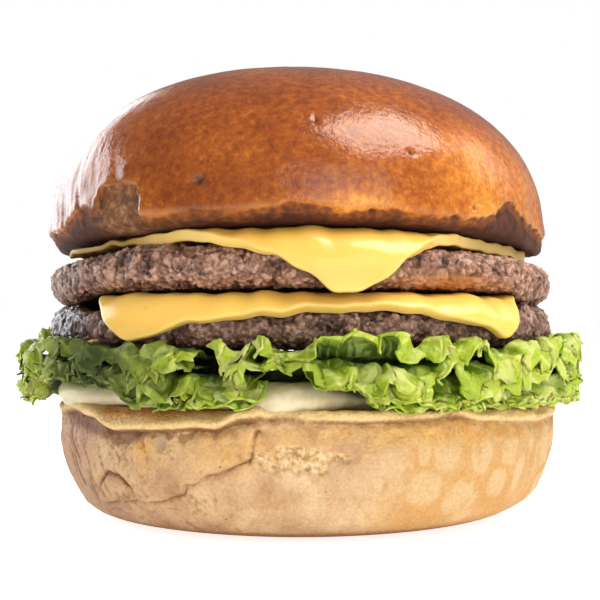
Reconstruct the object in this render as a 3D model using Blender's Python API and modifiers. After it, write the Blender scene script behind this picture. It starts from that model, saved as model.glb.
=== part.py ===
# Double cheeseburger: a glazed bun crown over two beef patties, each under a melted slice
# of cheese, on frilly lettuce and mayonnaise, on the toasted heel of the bun.
# Metres, +Z up. The front of the burger faces -Y. The origin is the middle of the heel's base.

import math

import bmesh
import bpy
from mathutils import Vector, noise

# Driving dimensions
BUN_RADIUS = 0.058
PATTY_RADIUS = 0.0600
SLICE_SIDE = 0.0855
SLICE_THICKNESS = 0.0024
LEAF_THICKNESS = 0.0009
CLEARANCE = 0.0003

# Heights of the layers, from the table up
HEEL_HEIGHT = 0.0273
FILLING_HEIGHT = 0.0113
LOWER_PATTY_HEIGHT = 0.0092
UPPER_PATTY_HEIGHT = 0.0098
CROWN_HEIGHT = 0.0403

# How far the upper layers sag at the left and right ends
MIDDLE_SAG = 0.0008
CROWN_SAG = 0.0027

LOWER_PATTY_BOTTOM = HEEL_HEIGHT + FILLING_HEIGHT
LOWER_PATTY_TOP = LOWER_PATTY_BOTTOM + LOWER_PATTY_HEIGHT
SLICE_STEP = SLICE_THICKNESS + 2 * CLEARANCE
UPPER_PATTY_BOTTOM = LOWER_PATTY_TOP + SLICE_STEP
UPPER_PATTY_TOP = UPPER_PATTY_BOTTOM + UPPER_PATTY_HEIGHT
CROWN_BOTTOM = UPPER_PATTY_TOP + SLICE_STEP

# How square a rounded edge is: 2 is a quarter of an ellipse
BUN_EDGE_POWER = 2.2
PATTY_EDGE_POWER = 2.5
SAUCE_EDGE_POWER = 2.0

# Mesh fineness
BUN_COLUMNS = 52
PATTY_COLUMNS = 54
SAUCE_COLUMNS = 40
SLICE_CELLS = 15
LEAF_CELL_LENGTH = 0.0033


def noise_at(x, y, z, seed):
    """Smooth noise from -1 to 1, the same each run."""
    return noise.noise(Vector((x + 17.3 * seed, y - 9.1 * seed, z + 4.7 * seed)))


def around(phi, waves, seed):
    """Smooth noise along a circle, with about that many waves in a turn."""
    reach = waves / 4
    return noise_at(reach * math.cos(phi), reach * math.sin(phi), 0.0, seed)


def bump(phi, centre, width):
    """A smooth hill of height 1 over a stretch of a circle. Angles in degrees."""
    away = (math.degrees(phi) - centre + 180) % 360 - 180
    return math.exp(-((away / width) ** 2))


def smooth_step(low, high, value):
    share = min(1.0, max(0.0, (value - low) / (high - low)))
    return share * share * (3 - 2 * share)


def sag(depth, x):
    """How much lower a layer lies at x than at its middle."""
    return depth * min(1.0, abs(x) / BUN_RADIUS) ** 2


def point_at(radius, phi, z):
    """phi is 0 at the front, -Y, and grows towards +X."""
    return Vector((radius * math.sin(phi), -radius * math.cos(phi), z))


def material(name, colour, roughness):
    made = bpy.data.materials.new(name)
    made.use_nodes = True
    shader = made.node_tree.nodes["Principled BSDF"]
    shader.inputs["Base Color"].default_value = (*colour, 1.0)
    shader.inputs["Roughness"].default_value = roughness
    shader.inputs["Metallic"].default_value = 0.0
    return made


def object_from(bm, name, finish, collection):
    mesh = bpy.data.meshes.new(name)
    bm.to_mesh(mesh)
    bm.free()
    mesh.shade_smooth()
    mesh.materials.append(finish)
    made = bpy.data.objects.new(name, mesh)
    collection.objects.link(made)
    return made


def turned_body(profile, columns, shape):
    """A closed round body. profile holds (radius, z) from the top middle to the bottom middle,
    and shape(radius, phi, z) gives the place of each of its points."""
    bm = bmesh.new()
    rings = len(profile) - 1
    bmesh.ops.create_uvsphere(bm, u_segments=columns, v_segments=rings, radius=1.0)
    for vertex in bm.verts:
        ring = round((0.5 - math.asin(max(-1.0, min(1.0, vertex.co.z))) / math.pi) * rings)
        phi = math.atan2(vertex.co.x, -vertex.co.y)
        radius, z = profile[ring]
        vertex.co = shape(radius, phi, z)
    bmesh.ops.recalc_face_normals(bm, faces=bm.faces)
    return bm


def arc(start, end, steps, corner, wide, high, power):
    """Points of a superellipse about corner, (radius, z), from one angle to another in degrees."""
    points = []
    for step in range(steps + 1):
        angle = math.radians(start + (end - start) * step / steps)
        across = abs(math.cos(angle)) ** (2 / power)
        up = math.copysign(abs(math.sin(angle)) ** (2 / power), math.sin(angle))
        points.append((corner[0] + wide * across, corner[1] + high * up))
    return points


# The crown: a tall dome, widest low down, whose edge curls in under it to a flat cut face.
# Its lower edge droops onto the patty at the right, where no cheese holds it up.

CROWN_WIDEST = 0.0045
CROWN_CURL = 0.009
CROWN_OFFSET = -0.0007
CROWN_DROOP = 0.0026

# Unevenness, as shares of the radius: broad swells, wrinkles low on the side, and the dent where
# the crust ends at the right
CROWN_SWELL = 0.005
CROWN_WRINKLE = 0.010
CRUST_EDGE_DENT = 0.012
# Broad waves of the dome's surface, in height
DOME_WAVE = 0.0007


def crown_shape(radius, phi, z):
    share = radius / BUN_RADIUS
    height = (z - CROWN_BOTTOM) / CROWN_HEIGHT
    swell = CROWN_SWELL * around(phi, 5, 1) + CROWN_SWELL * around(phi, 12, 2)
    low = smooth_step(0.45, 0.1, height) * smooth_step(0.6, 0.95, share)
    wrinkled = 0.35 + bump(phi, -62, 30) + bump(phi, 68, 22)
    wrinkles = CROWN_WRINKLE * around(phi, 40, 3) * low * wrinkled
    crust_edge = -CRUST_EDGE_DENT * bump(phi, 66, 7) * low
    radius *= 1 + (swell + wrinkles + crust_edge) * share
    wave = noise_at(share * 1.7 * math.cos(phi), share * 1.7 * math.sin(phi), 0, 4)
    z += DOME_WAVE * wave * height
    edge = smooth_step(0.3, 0.1, height) * smooth_step(0.905, 0.975, share)
    z -= CROWN_DROOP * edge * (bump(phi, 80, 28) + 0.7 * bump(phi, -98, 18))
    place = point_at(radius, phi, z)
    place.z -= sag(CROWN_SAG, place.x) * (1 - 0.8 * height)
    place.x += CROWN_OFFSET
    return place


def bun_crown(collection):
    middle = CROWN_BOTTOM + CROWN_WIDEST
    dome = arc(90, 0, 10, (0, middle), BUN_RADIUS, CROWN_HEIGHT - CROWN_WIDEST, BUN_EDGE_POWER)
    corner = (BUN_RADIUS - CROWN_CURL, middle)
    curl = arc(0, -90, 4, corner, CROWN_CURL, CROWN_WIDEST, BUN_EDGE_POWER)[1:]
    flat = [(corner[0] * 0.6, CROWN_BOTTOM), (0, CROWN_BOTTOM)]
    bm = turned_body(dome + curl + flat, BUN_COLUMNS, crown_shape)
    finish = material("glazed_brioche_crust", (0.52, 0.20, 0.055), 0.28)
    return object_from(bm, "bun_crown", finish, collection)


# The heel: a pale round-sided base, flat below, with a toasted lip over a crease at its top

HEEL_OFFSET = 0.0018
HEEL_TOP_EDGE = 0.0030

# The fold under the toasted lip: its height where nothing presses it down, and half its width
CREASE_HEIGHT = 0.0246
CREASE_HALF_WIDTH = 0.0013
# Unevenness, as shares of the radius: the fold's depth, broad and short swells, upright folds
CREASE_DEPTH = 0.030
HEEL_SWELL = 0.008
HEEL_SHORT_SWELL = 0.004
HEEL_FOLD = 0.011
# Half the depth of the dips in the toasted cut face, which lie within this of its height
TOP_DIP = 0.0004
TOP_BAND = 0.0001

# Radius and height of the heel's side, from its lip down to its flat foot
HEEL_SIDE = (
    (0.0579, 0.0228), (0.0579, 0.0213), (0.0577, 0.0185), (0.0571, 0.0155), (0.0562, 0.0120),
    (0.0547, 0.0083), (0.0532, 0.0058), (0.0508, 0.0034), (0.0464, 0.0014), (0.0394, 0.0000),
)


def crease_height(phi):
    """The height of the fold that runs round under the toasted lip."""
    dip = 0.0042 * bump(phi, -50, 26) + 0.0016 * bump(phi, 24, 14)
    return CREASE_HEIGHT - dip + 0.0007 * around(phi, 9, 5)


def heel_shape(radius, phi, z):
    share = radius / BUN_RADIUS
    side = smooth_step(0.80, 0.95, share)
    swell = HEEL_SWELL * around(phi, 6, 6) + HEEL_SHORT_SWELL * around(phi, 16, 7)
    away = (z - crease_height(phi)) / CREASE_HALF_WIDTH
    folded = 0.25 + bump(phi, -48, 34) + 0.6 * bump(phi, 22, 26)
    crease = -CREASE_DEPTH * math.exp(-away * away) * folded
    below = smooth_step(0.004, 0.016, z) * smooth_step(0.0235, 0.016, z)
    folds = HEEL_FOLD * around(phi, 26, 8) * below * (0.3 + bump(phi, -66, 26))
    radius *= 1 + (swell + crease + folds) * side
    if z > HEEL_HEIGHT - TOP_BAND:
        dips = 1 + noise_at(share * 3 * math.cos(phi), share * 3 * math.sin(phi), 0, 9)
        z -= TOP_DIP * dips
    place = point_at(radius, phi, z)
    place.x += HEEL_OFFSET * smooth_step(0, 0.008, z)
    return place


def bun_heel(collection):
    edge = (BUN_RADIUS - HEEL_TOP_EDGE, HEEL_HEIGHT - HEEL_TOP_EDGE)
    flat = [(0, HEEL_HEIGHT), (edge[0] * 0.7, HEEL_HEIGHT)]
    rim = arc(90, 0, 4, edge, HEEL_TOP_EDGE, HEEL_TOP_EDGE, BUN_EDGE_POWER)
    bm = turned_body(flat + rim + list(HEEL_SIDE) + [(0, 0)], BUN_COLUMNS, heel_shape)
    finish = material("pale_brioche_base", (0.78, 0.52, 0.27), 0.55)
    return object_from(bm, "bun_heel", finish, collection)


# The patties: round-edged discs of coarse mince, with an uneven edge and craggy sides

PATTY_EDGE = 0.0072

# How deep the hollows between the crumbs are, at the side and on the faces, and how many waves
# of crumbs there are in a metre, across and up
PATTY_RELIEF = 0.0008
FACE_RELIEF = 0.0002
CRUMBS_ACROSS = 230
CRUMBS_UP = 300

# Shares of the radius by which the edge wanders, and by which the front is flatter
EDGE_WANDER = 0.020
FRONT_FLAT = 0.055


def patty_radius(phi, seed):
    """The radius of a patty at phi. The front of each is flatter than a circle."""
    uneven = 0.5 + 0.5 * around(phi, 7, seed)
    return PATTY_RADIUS * (1 - EDGE_WANDER * uneven - FRONT_FLAT * bump(phi, 0, 40))


def patty(name, bottom, height, sags, seed, finish, collection):
    """sags are the sag of its top and of its bottom."""
    half = height / 2
    middle = bottom + half

    def shape(radius, phi, z):
        share = radius / PATTY_RADIUS
        radius *= patty_radius(phi, seed) / PATTY_RADIUS
        side = smooth_step(0.84, 0.96, share)
        across = radius * CRUMBS_ACROSS
        grain = noise_at(across * math.cos(phi), across * math.sin(phi), z * CRUMBS_UP, seed)
        radius -= PATTY_RELIEF * (1 + grain) * side
        up = (z - middle) / half
        top_sag, bottom_sag = (sag(depth, radius * math.sin(phi)) for depth in sags)
        z -= top_sag * (1 + up) / 2 + bottom_sag * (1 - up) / 2
        z -= FACE_RELIEF * (1 + grain) * up
        return point_at(radius, phi, z)

    corner = (PATTY_RADIUS - PATTY_EDGE, middle)
    rim = arc(90, -90, 7, corner, PATTY_EDGE, half, PATTY_EDGE_POWER)
    top = [(0, middle + half), (corner[0] * 0.65, middle + half)]
    under = [(corner[0] * 0.65, middle - half), (0, middle - half)]
    bm = turned_body(top + rim + under, PATTY_COLUMNS, shape)
    return object_from(bm, name, finish, collection)


# The slices: square, laid over a patty, bent down over its edge where they reach past it

BEND = 0.0066
RIM_GAP = 0.0005
EDGE_BOW = 0.0022
HANGING_RIPPLE = 0.0005
# How closely the rows of a slice's grid crowd at its edges: 1 is evenly spaced
ROW_CROWDING = 0.75

# How sharp the corners are: front left, front right, back left, back right. 2 is a full round.
LOWER_CORNERS = (20, 20, 9, 9)
UPPER_CORNERS = (14, 5, 5, 5)

# How far the middle of a slice's front edge has run forward
LOWER_RUN = 0.0045
UPPER_RUN = 0.0


def slice_outline(u, v, corners, run):
    """A point of the flat slice, where u and v run from -1 to 1. Its corners are rounded, and its
    edges bow out a little, as the cheese has melted."""
    half = SLICE_SIDE / 2
    power = corners[(0 if v < 0 else 2) + (0 if u < 0 else 1)]
    longest = max(abs(u), abs(v))
    rounding = (abs(u) ** power + abs(v) ** power) ** (1 / power)
    scale = longest / rounding if rounding > 0 else 1
    x = (half * u + EDGE_BOW * u * (1 - v * v)) * scale
    y = (half * v + EDGE_BOW * v * (1 - u * u)) * scale
    return x, y - run * (1 - u * u) * max(0.0, -v)


def draped(x, y, level, depth, seed):
    """Where a point that would lie flat at x, y comes to lie. level is the middle of the slice's
    thickness over the patty's middle, and depth its sag at the sides."""
    flat = math.hypot(x, y)
    phi = math.atan2(x, -y)
    outer = patty_radius(phi, seed) + RIM_GAP + SLICE_THICKNESS / 2
    turn = max(0.0, flat - (outer - BEND)) / BEND
    if turn == 0.0:
        radius, drop = flat, 0.0
    elif turn < math.pi / 2:
        radius, drop = outer - BEND + BEND * math.sin(turn), BEND * (1 - math.cos(turn))
    else:
        radius, drop = outer, BEND + BEND * (turn - math.pi / 2)
    ripple = HANGING_RIPPLE * around(phi, 11, seed + 3) * smooth_step(0, 1.2, turn)
    radius += ripple * smooth_step(0, 0.004, drop)
    return point_at(radius, phi, level - drop - sag(depth, radius * math.sin(phi)))


def cheese_slice(name, patty_top, depth, centre, turned, corners, run, seed, finish, collection):
    """centre is where the middle of the slice lies, and turned how far it is turned, in degrees."""
    level = patty_top + CLEARANCE + SLICE_THICKNESS / 2
    cos, sin = math.cos(math.radians(turned)), math.sin(math.radians(turned))
    bm = bmesh.new()
    bmesh.ops.create_grid(bm, x_segments=SLICE_CELLS, y_segments=SLICE_CELLS, size=1.0)
    for vertex in bm.verts:
        u, v = (math.copysign(abs(c) ** ROW_CROWDING, c) for c in vertex.co.xy)
        x, y = slice_outline(u, v, corners, run)
        vertex.co = draped(
            centre[0] + x * cos - y * sin, centre[1] + x * sin + y * cos, level, depth, seed
        )
    made = object_from(bm, name, finish, collection)
    solidify = made.modifiers.new("thickness", "SOLIDIFY")
    solidify.thickness = SLICE_THICKNESS
    solidify.offset = 0.0
    return made


# The mayonnaise: a spread with an uneven edge that bulges out at the front and the left

SAUCE_RADIUS = 0.046
SAUCE_HEIGHT = 0.0020
SAUCE_SWELL = 0.0030
SAUCE_EDGE = 0.0035
SAUCE_RUN = 0.27
SAUCE_WANDER = 0.05


def sauce_bulge(phi):
    """How much the spread swells at phi, from 0 to 1."""
    return min(1.0, bump(phi, -3, 15) + bump(phi, -62, 24) + 0.7 * bump(phi, 118, 20))


def sauce_top(radius, phi):
    """The height of the spread's surface, which leaves have to lie over."""
    swell = SAUCE_SWELL * sauce_bulge(phi) * smooth_step(0.034, 0.050, radius)
    return HEEL_HEIGHT + CLEARANCE + SAUCE_HEIGHT + swell


def sauce_reach(phi):
    return SAUCE_RADIUS * (1 + SAUCE_RUN * sauce_bulge(phi) + SAUCE_WANDER * around(phi, 9, 21))


def mayonnaise(collection):
    base = HEEL_HEIGHT + CLEARANCE

    def shape(radius, phi, z):
        radius *= sauce_reach(phi) / SAUCE_RADIUS
        height = sauce_top(radius, phi) - base
        return point_at(radius, phi, base + (z - base) / SAUCE_HEIGHT * height)

    half = SAUCE_HEIGHT / 2
    corner = (SAUCE_RADIUS - SAUCE_EDGE, base + half)
    rim = arc(90, -90, 5, corner, SAUCE_EDGE, half, SAUCE_EDGE_POWER)
    top = [(0, base + SAUCE_HEIGHT), (corner[0] * 0.75, base + SAUCE_HEIGHT)]
    bm = turned_body(top + rim + [(0, base)], SAUCE_COLUMNS, shape)
    finish = material("mayonnaise", (0.86, 0.80, 0.64), 0.3)
    return object_from(bm, "mayonnaise", finish, collection)


# The lettuce: four leaves in two tiers, folded under the patty and frilled where they come out

LEAF_RINGS = (0.006, 0.036, 0.0505, 0.0592)
LEAF_CELLS_ACROSS = len(LEAF_RINGS) + 1
FOLD_RING = 0.036
FOLD_WIDTH = 0.009
FRILL_START = 0.0505
FRILL_FULL = 0.0625
FRILL_WAVE = 0.0185
FRILL_RADIUS = 0.062
FRILL_CURL = 0.0028
WIDEST_LEAF_HEIGHT = 0.0330
# The heights of the middles of the lower and the upper frill, and how far each swings
FRILL_HEIGHTS = (0.0301, 0.0356)
FRILL_SWINGS = (0.0029, 0.0043)
# How far a frill rises at the sides, in the same order
SIDE_RISES = (0.0010, 0.0040)
# Between these radii a leaf comes free of the heel's edge and may hang down past it
HEEL_EDGE_START = 0.0585
HEEL_EDGE_END = 0.0610
RISE_PAST_PATTY = 2.2
UNDER_PATTY = LOWER_PATTY_BOTTOM - CLEARANCE - LEAF_THICKNESS / 2
LOWER_TIER = 0.0313

# Name, start and end angle in degrees, reach, tier (1 is the upper one)
LEAVES = (
    ("lettuce_leaf_left", -172, -19, 0.0660, 1),
    ("lettuce_leaf_right", -15, 184, 0.0655, 1),
    ("lettuce_leaf_front", 12, 84, 0.0660, 0),
    ("lettuce_leaf_back", 90, 283, 0.0660, 0),
)


def frill_phase(phi):
    return phi * FRILL_RADIUS / FRILL_WAVE * 2 * math.pi + 3.4 * around(phi, 11, 31)


def sides(phi):
    """How much a leaf stands out at phi, where nothing above holds it down: the left and right."""
    return bump(phi, -92, 34) + 0.8 * bump(phi, 88, 38)


def frill_middle(phi, tier):
    """The height of the middle of the frill of a tier. The upper one hangs low at the left of
    the front."""
    height = FRILL_HEIGHTS[tier] + SIDE_RISES[tier] * sides(phi)
    if tier:
        hang = 0.0040 * bump(phi, -29, 12) - 0.0012 * bump(phi, 0, 13)
        return height + 0.0012 * bump(phi, -90, 20) - hang
    return height


def frill_swing(phi, tier):
    """How far the frill of a tier rises and falls about its middle."""
    uneven = 1 + 0.45 * around(phi, 15, 35 + tier)
    return FRILL_SWINGS[tier] * (1 + 0.35 * sides(phi) * tier) * uneven


def leaf_ring(v, tip):
    """The radius of a leaf at v. The last ring lies halfway from the patty's edge to the tip."""
    ring = round(v * LEAF_CELLS_ACROSS)
    if ring < len(LEAF_RINGS):
        return min(LEAF_RINGS[ring], tip - 0.002 * (LEAF_CELLS_ACROSS - ring))
    return tip if ring > len(LEAF_RINGS) else (LEAF_RINGS[-1] + tip) / 2


def leaf_point(u, v, start, end, reach, tier):
    """A point of a leaf. u runs along it and v from its middle to its edge, both from 0 to 1."""
    phi = math.radians(start + (end - start) * u)
    ends = smooth_step(0, 0.05, u) * smooth_step(1, 0.95, u)
    phase = frill_phase(phi)
    outer = frill_middle(phi, tier) + frill_swing(phi, tier) * math.sin(phase)
    tip = (reach + 0.0035 * sides(phi)) * (1 + 0.035 * around(phi, 15, 33 + tier))
    tip -= 0.004 * (1 - ends) + 0.5 * abs(outer - WIDEST_LEAF_HEIGHT)
    radius = leaf_ring(v, tip)
    frill = smooth_step(FRILL_START, FRILL_FULL, radius)
    floor = sauce_top(radius, phi) + 3 * CLEARANCE + LEAF_THICKNESS / 2
    fold = math.exp(-(((radius - FOLD_RING) / FOLD_WIDTH) ** 2))
    inner = UNDER_PATTY - 0.0002 - 0.0030 * fold if tier else LOWER_TIER + 0.0020 * fold
    z = inner + (outer - inner) * frill
    if tier:
        z = min(z, UNDER_PATTY - 0.0001 + RISE_PAST_PATTY * max(0.0, radius - LEAF_RINGS[-1]))
    z = max(z, floor * (1 - smooth_step(HEEL_EDGE_START, HEEL_EDGE_END, radius)))
    phi += frill * FRILL_CURL / radius * math.sin(2 * phase)
    return point_at(radius, phi, z)


def lettuce_leaf(name, start, end, reach, tier, finish, collection):
    length = math.radians(end - start) * reach
    bm = bmesh.new()
    bmesh.ops.create_grid(
        bm, x_segments=round(length / LEAF_CELL_LENGTH), y_segments=LEAF_CELLS_ACROSS, size=0.5
    )
    for vertex in bm.verts:
        vertex.co = leaf_point(vertex.co.x + 0.5, vertex.co.y + 0.5, start, end, reach, tier)
    made = object_from(bm, name, finish, collection)
    solidify = made.modifiers.new("thickness", "SOLIDIFY")
    solidify.thickness = LEAF_THICKNESS
    solidify.offset = 0.0
    triangles = made.modifiers.new("like_triangles", "TRIANGULATE")
    triangles.quad_method = "FIXED"
    return made


def main():
    for old in list(bpy.data.objects):
        bpy.data.objects.remove(old)
    burger = bpy.data.collections.new("double_cheeseburger")
    bpy.context.scene.collection.children.link(burger)

    bun_heel(burger)
    mayonnaise(burger)
    leaf = material("green_leaf_lettuce", (0.36, 0.44, 0.07), 0.4)
    for name, start, end, reach, tier in LEAVES:
        lettuce_leaf(name, start, end, reach, tier, leaf, burger)
    mince = material("seared_minced_beef", (0.27, 0.14, 0.09), 0.5)
    cheddar = material("melted_cheddar", (0.95, 0.62, 0.15), 0.3)
    patty(
        "patty_lower", LOWER_PATTY_BOTTOM, LOWER_PATTY_HEIGHT,
        (MIDDLE_SAG, 0.0), 11, mince, burger,
    )
    cheese_slice(
        "cheese_lower", LOWER_PATTY_TOP, MIDDLE_SAG, (-0.0006, -0.0075), 5.3,
        LOWER_CORNERS, LOWER_RUN, 11, cheddar, burger,
    )
    patty(
        "patty_upper", UPPER_PATTY_BOTTOM, UPPER_PATTY_HEIGHT,
        (CROWN_SAG, MIDDLE_SAG), 12, mince, burger,
    )
    cheese_slice(
        "cheese_upper", UPPER_PATTY_TOP, CROWN_SAG, (0.0002, -0.0099), 55.5,
        UPPER_CORNERS, UPPER_RUN, 12, cheddar, burger,
    )
    bun_crown(burger)


main()
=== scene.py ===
# Double cheeseburger, dressed: a glazed brioche bun round two grilled beef patties, each under
# a melted slice of cheese, on frilly lettuce and mayonnaise.
# Metres, +Z up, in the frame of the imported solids. The front of the burger faces -Y.

import math

import bmesh
import bpy
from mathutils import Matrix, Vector, noise


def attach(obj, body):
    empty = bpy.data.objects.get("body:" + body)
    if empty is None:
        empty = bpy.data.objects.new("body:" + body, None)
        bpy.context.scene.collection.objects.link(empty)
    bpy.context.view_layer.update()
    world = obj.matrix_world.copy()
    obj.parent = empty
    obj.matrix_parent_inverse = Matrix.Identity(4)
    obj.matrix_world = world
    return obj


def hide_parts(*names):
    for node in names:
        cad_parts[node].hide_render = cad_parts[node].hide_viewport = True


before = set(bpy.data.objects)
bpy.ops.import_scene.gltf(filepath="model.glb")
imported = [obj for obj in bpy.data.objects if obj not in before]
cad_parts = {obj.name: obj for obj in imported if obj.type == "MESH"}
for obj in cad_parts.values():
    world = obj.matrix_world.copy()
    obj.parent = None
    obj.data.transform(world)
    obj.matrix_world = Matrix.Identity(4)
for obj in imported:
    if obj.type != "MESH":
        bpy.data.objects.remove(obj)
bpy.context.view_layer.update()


# Camera: a short telephoto lens close in front of the burger, a little under its middle.
# It looks up very slightly, and everything is sharp.

PHOTO_WIDTH = 600
FOCAL_LENGTH_PIXELS = 1205
HORIZON_UNDER_MIDDLE_PIXELS = 30
SENSOR_MM = 36.0
NEAREST_SEEN = 0.01
CAMERA_PLACE = (0.0, -0.290, 0.0429)

camera_data = bpy.data.cameras.new("photo_camera")
camera_data.sensor_width = SENSOR_MM
camera_data.lens = SENSOR_MM * FOCAL_LENGTH_PIXELS / PHOTO_WIDTH
camera_data.clip_start = NEAREST_SEEN
camera = bpy.data.objects.new("photo_camera", camera_data)
camera.location = CAMERA_PLACE
looking_up = math.atan(HORIZON_UNDER_MIDDLE_PIXELS / FOCAL_LENGTH_PIXELS)
camera.rotation_euler = (math.pi / 2 + looking_up, 0.0, 0.0)
bpy.context.scene.collection.objects.link(camera)
bpy.context.scene.camera = camera


# Light: a food photographer's table, with a big softbox overhead to the right, a bright one
# behind at the left that glances off the crust, weak ones at the right and behind, and a wide
# panel that fills the front.

BURGER_MIDDLE = Vector((0.0, 0.0, 0.052))


def linear(code):
    """An sRGB hex colour as linear red, green, blue and alpha."""
    shares = [int(code[place:place + 2], 16) / 255 for place in (1, 3, 5)]
    return [((s + 0.055) / 1.055) ** 2.4 if s > 0.04045 else s / 12.92 for s in shares] + [1.0]


def softbox(name, direction, distance, size, watts, shade):
    """A rectangular panel that faces the burger from a direction. size is in metres."""
    panel = bpy.data.lights.new(name, "AREA")
    panel.shape = "RECTANGLE"
    panel.size, panel.size_y = size
    panel.energy = watts
    panel.color = linear(shade)[:3]
    lamp = bpy.data.objects.new(name, panel)
    lamp.location = BURGER_MIDDLE + Vector(direction).normalized() * distance
    lamp.rotation_euler = (BURGER_MIDDLE - lamp.location).to_track_quat("-Z", "Y").to_euler()
    bpy.context.scene.collection.objects.link(lamp)


softbox("key_softbox", (0.46, -0.26, 0.85), 0.62, (0.42, 0.32), 4.0, "#fff3e6")
softbox("right_softbox", (0.80, 0.22, 0.52), 0.62, (0.20, 0.26), 0.4, "#fff3e6")
softbox("left_softbox", (-0.86, 0.48, 0.28), 0.60, (0.44, 0.36), 2.3, "#fbfbff")
softbox("back_softbox", (-0.45, 0.85, 0.30), 0.60, (0.20, 0.30), 0.6, "#fffdfb")
softbox("front_fill", (0.30, -0.92, 0.22), 0.80, (0.60, 0.50), 2.4, "#fff1e0")

scene = bpy.context.scene
scene.view_settings.view_transform = "Standard"
scene.view_settings.look = "None"


# Stage: a wide white table in a white room, dimmer behind and at the left. Room and table look
# pure white to the camera and light the burger more softly than that.

ROOM_LIGHT = 0.45
ROOM_LIGHT_BEHIND = 0.22
DIM_WAY = (-0.80, 0.60, 0.0)
TABLE_RADIUS = 3.0
TABLE_SIDES = 96
TABLE_GLOW = 0.26
TABLE_GLOW_SEEN = 0.80


def add_node(tree, kind, settings, output=None):
    """Add a node to tree and return one of its outputs, the first that is in use unless named.
    A setting is a property, in small letters, or a socket's number, colour or link."""
    node = tree.nodes.new("ShaderNode" + kind)
    for name, value in settings.items():
        if name == "stops":
            stops = node.color_ramp.elements
            for place, shade in value.items():
                first, last = place == min(value), place == max(value)
                stop = stops[0] if first else stops[-1] if last else stops.new(place)
                stop.position = place
                stop.color = linear(shade)
            continue
        if isinstance(name, str) and name.islower():
            setattr(node, name, value)
            continue
        named = [socket for socket in node.inputs if socket.enabled and socket.name == name]
        socket = named[0] if named else node.inputs[name]
        if isinstance(value, bpy.types.NodeSocket):
            tree.links.new(value, socket)
        else:
            socket.default_value = value
    if output is not None:
        return node.outputs[output]
    return next((socket for socket in node.outputs if socket.enabled), None)


def new_material(name, settings):
    """A material with one Principled shader, its node tree and that shader."""
    finish = bpy.data.materials.new(name)
    finish.use_nodes = True
    tree = finish.node_tree
    shader = tree.nodes["Principled BSDF"]
    for socket, value in settings.items():
        shader.inputs[socket].default_value = value
    return finish, tree, shader


room = bpy.data.worlds.new("white_room")
room.use_nodes = True
room_tree = room.node_tree
room_tree.nodes.clear()
seen = add_node(room_tree, "LightPath", {}, "Is Camera Ray")
way = add_node(room_tree, "TexCoord", {}, "Generated")
dim_way = add_node(room_tree, "VectorMath", {
    "operation": "DOT_PRODUCT", 0: way, 1: DIM_WAY,
}, "Value")
room_light = add_node(room_tree, "MapRange", {
    "Value": dim_way, "From Min": -0.3, "From Max": 0.7, "To Min": ROOM_LIGHT,
    "To Max": ROOM_LIGHT_BEHIND,
})
brightness = add_node(
    room_tree, "MapRange", {"Value": seen, "To Min": room_light, "To Max": 1.0}
)
glow = add_node(room_tree, "Background", {"Color": linear("#ffffff"), "Strength": brightness})
add_node(room_tree, "OutputWorld", {"Surface": glow})
scene.world = room

table_bm = bmesh.new()
bmesh.ops.create_circle(table_bm, cap_ends=True, segments=TABLE_SIDES, radius=TABLE_RADIUS)
table_mesh = bpy.data.meshes.new("white_table")
table_bm.to_mesh(table_mesh)
table_bm.free()
white_table = bpy.data.objects.new("white_table", table_mesh)
scene.collection.objects.link(white_table)
paint, paint_tree, paint_shader = new_material("matt_white_laminate", {"Roughness": 0.8})
sheen_patches = add_node(paint_tree, "TexNoise", {"Scale": 1 / 0.20, "Detail": 2.0})
paint_tint = add_node(
    paint_tree, "ValToRGB", {"Fac": sheen_patches, "stops": {0.3: "#f6f6f6", 0.7: "#fafafa"}}
)
paint_tree.links.new(paint_tint, paint_shader.inputs["Base Color"])
paint_shader.inputs["Emission Color"].default_value = linear("#ffffff")
paint_seen = add_node(paint_tree, "LightPath", {}, "Is Camera Ray")
paint_glow = add_node(paint_tree, "MapRange", {
    "Value": paint_seen, "To Min": TABLE_GLOW, "To Max": TABLE_GLOW_SEEN,
})
paint_tree.links.new(paint_glow, paint_shader.inputs["Emission Strength"])
table_mesh.materials.append(paint)


# Bun heel: the bottom half of a brioche bun, pale bread with a thin baked skin. It was cut
# flat and toasted, so its upper edge has rolled over into a golden lip above a crease, and
# its skin has wrinkled and torn where the burger was pressed.

BUN_RADIUS = 0.058
HEEL_HEIGHT = 0.0273
HEEL_OFFSET = 0.0018
HEEL_TOP_EDGE = 0.0030
# The side under that edge, as radius and height
HEEL_SIDE = (
    (0.0579, 0.0228), (0.0579, 0.0213), (0.0577, 0.0185), (0.0571, 0.0155), (0.0562, 0.0120),
    (0.0547, 0.0083), (0.0532, 0.0058), (0.0508, 0.0034), (0.0464, 0.0014), (0.0394, 0.0000),
)
# How many columns of faces run round it, how much they crowd together at the front, and how far
# apart the rows are
HEEL_COLUMNS = 640
FRONT_CROWDING = 0.35
HEEL_ROW = 0.00038
# The crease under the toasted lip, as degrees and height
CREASE = (
    (-180, 0.0250), (-75, 0.0245), (-62, 0.0256), (-52, 0.0246), (-44, 0.0220), (-30, 0.0229),
    (-19, 0.0234), (-13, 0.0250), (-5, 0.0260), (0, 0.0251), (18, 0.0249), (24, 0.0250),
    (30, 0.0258), (39, 0.0241), (60, 0.0232), (90, 0.0242), (180, 0.0250),
)
# The lower edge of the loose flap of skin at the front left
FLAP_EDGE = (
    (-54, 0.0062), (-43, 0.0080), (-34, 0.0083), (-27, 0.0100), (-25, 0.0122),
    (-20, 0.0146), (-12, 0.0172), (-10, 0.0236),
)
# The arched fold under the flap: its middle in degrees, its top, how far it falls on each side
# and how many degrees it takes for that
ARCH_MIDDLE = -46
ARCH_TOP = 0.0132
ARCH_FALL = 0.0019
ARCH_LEFT = 4.2
ARCH_RIGHT = 5.2
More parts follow.
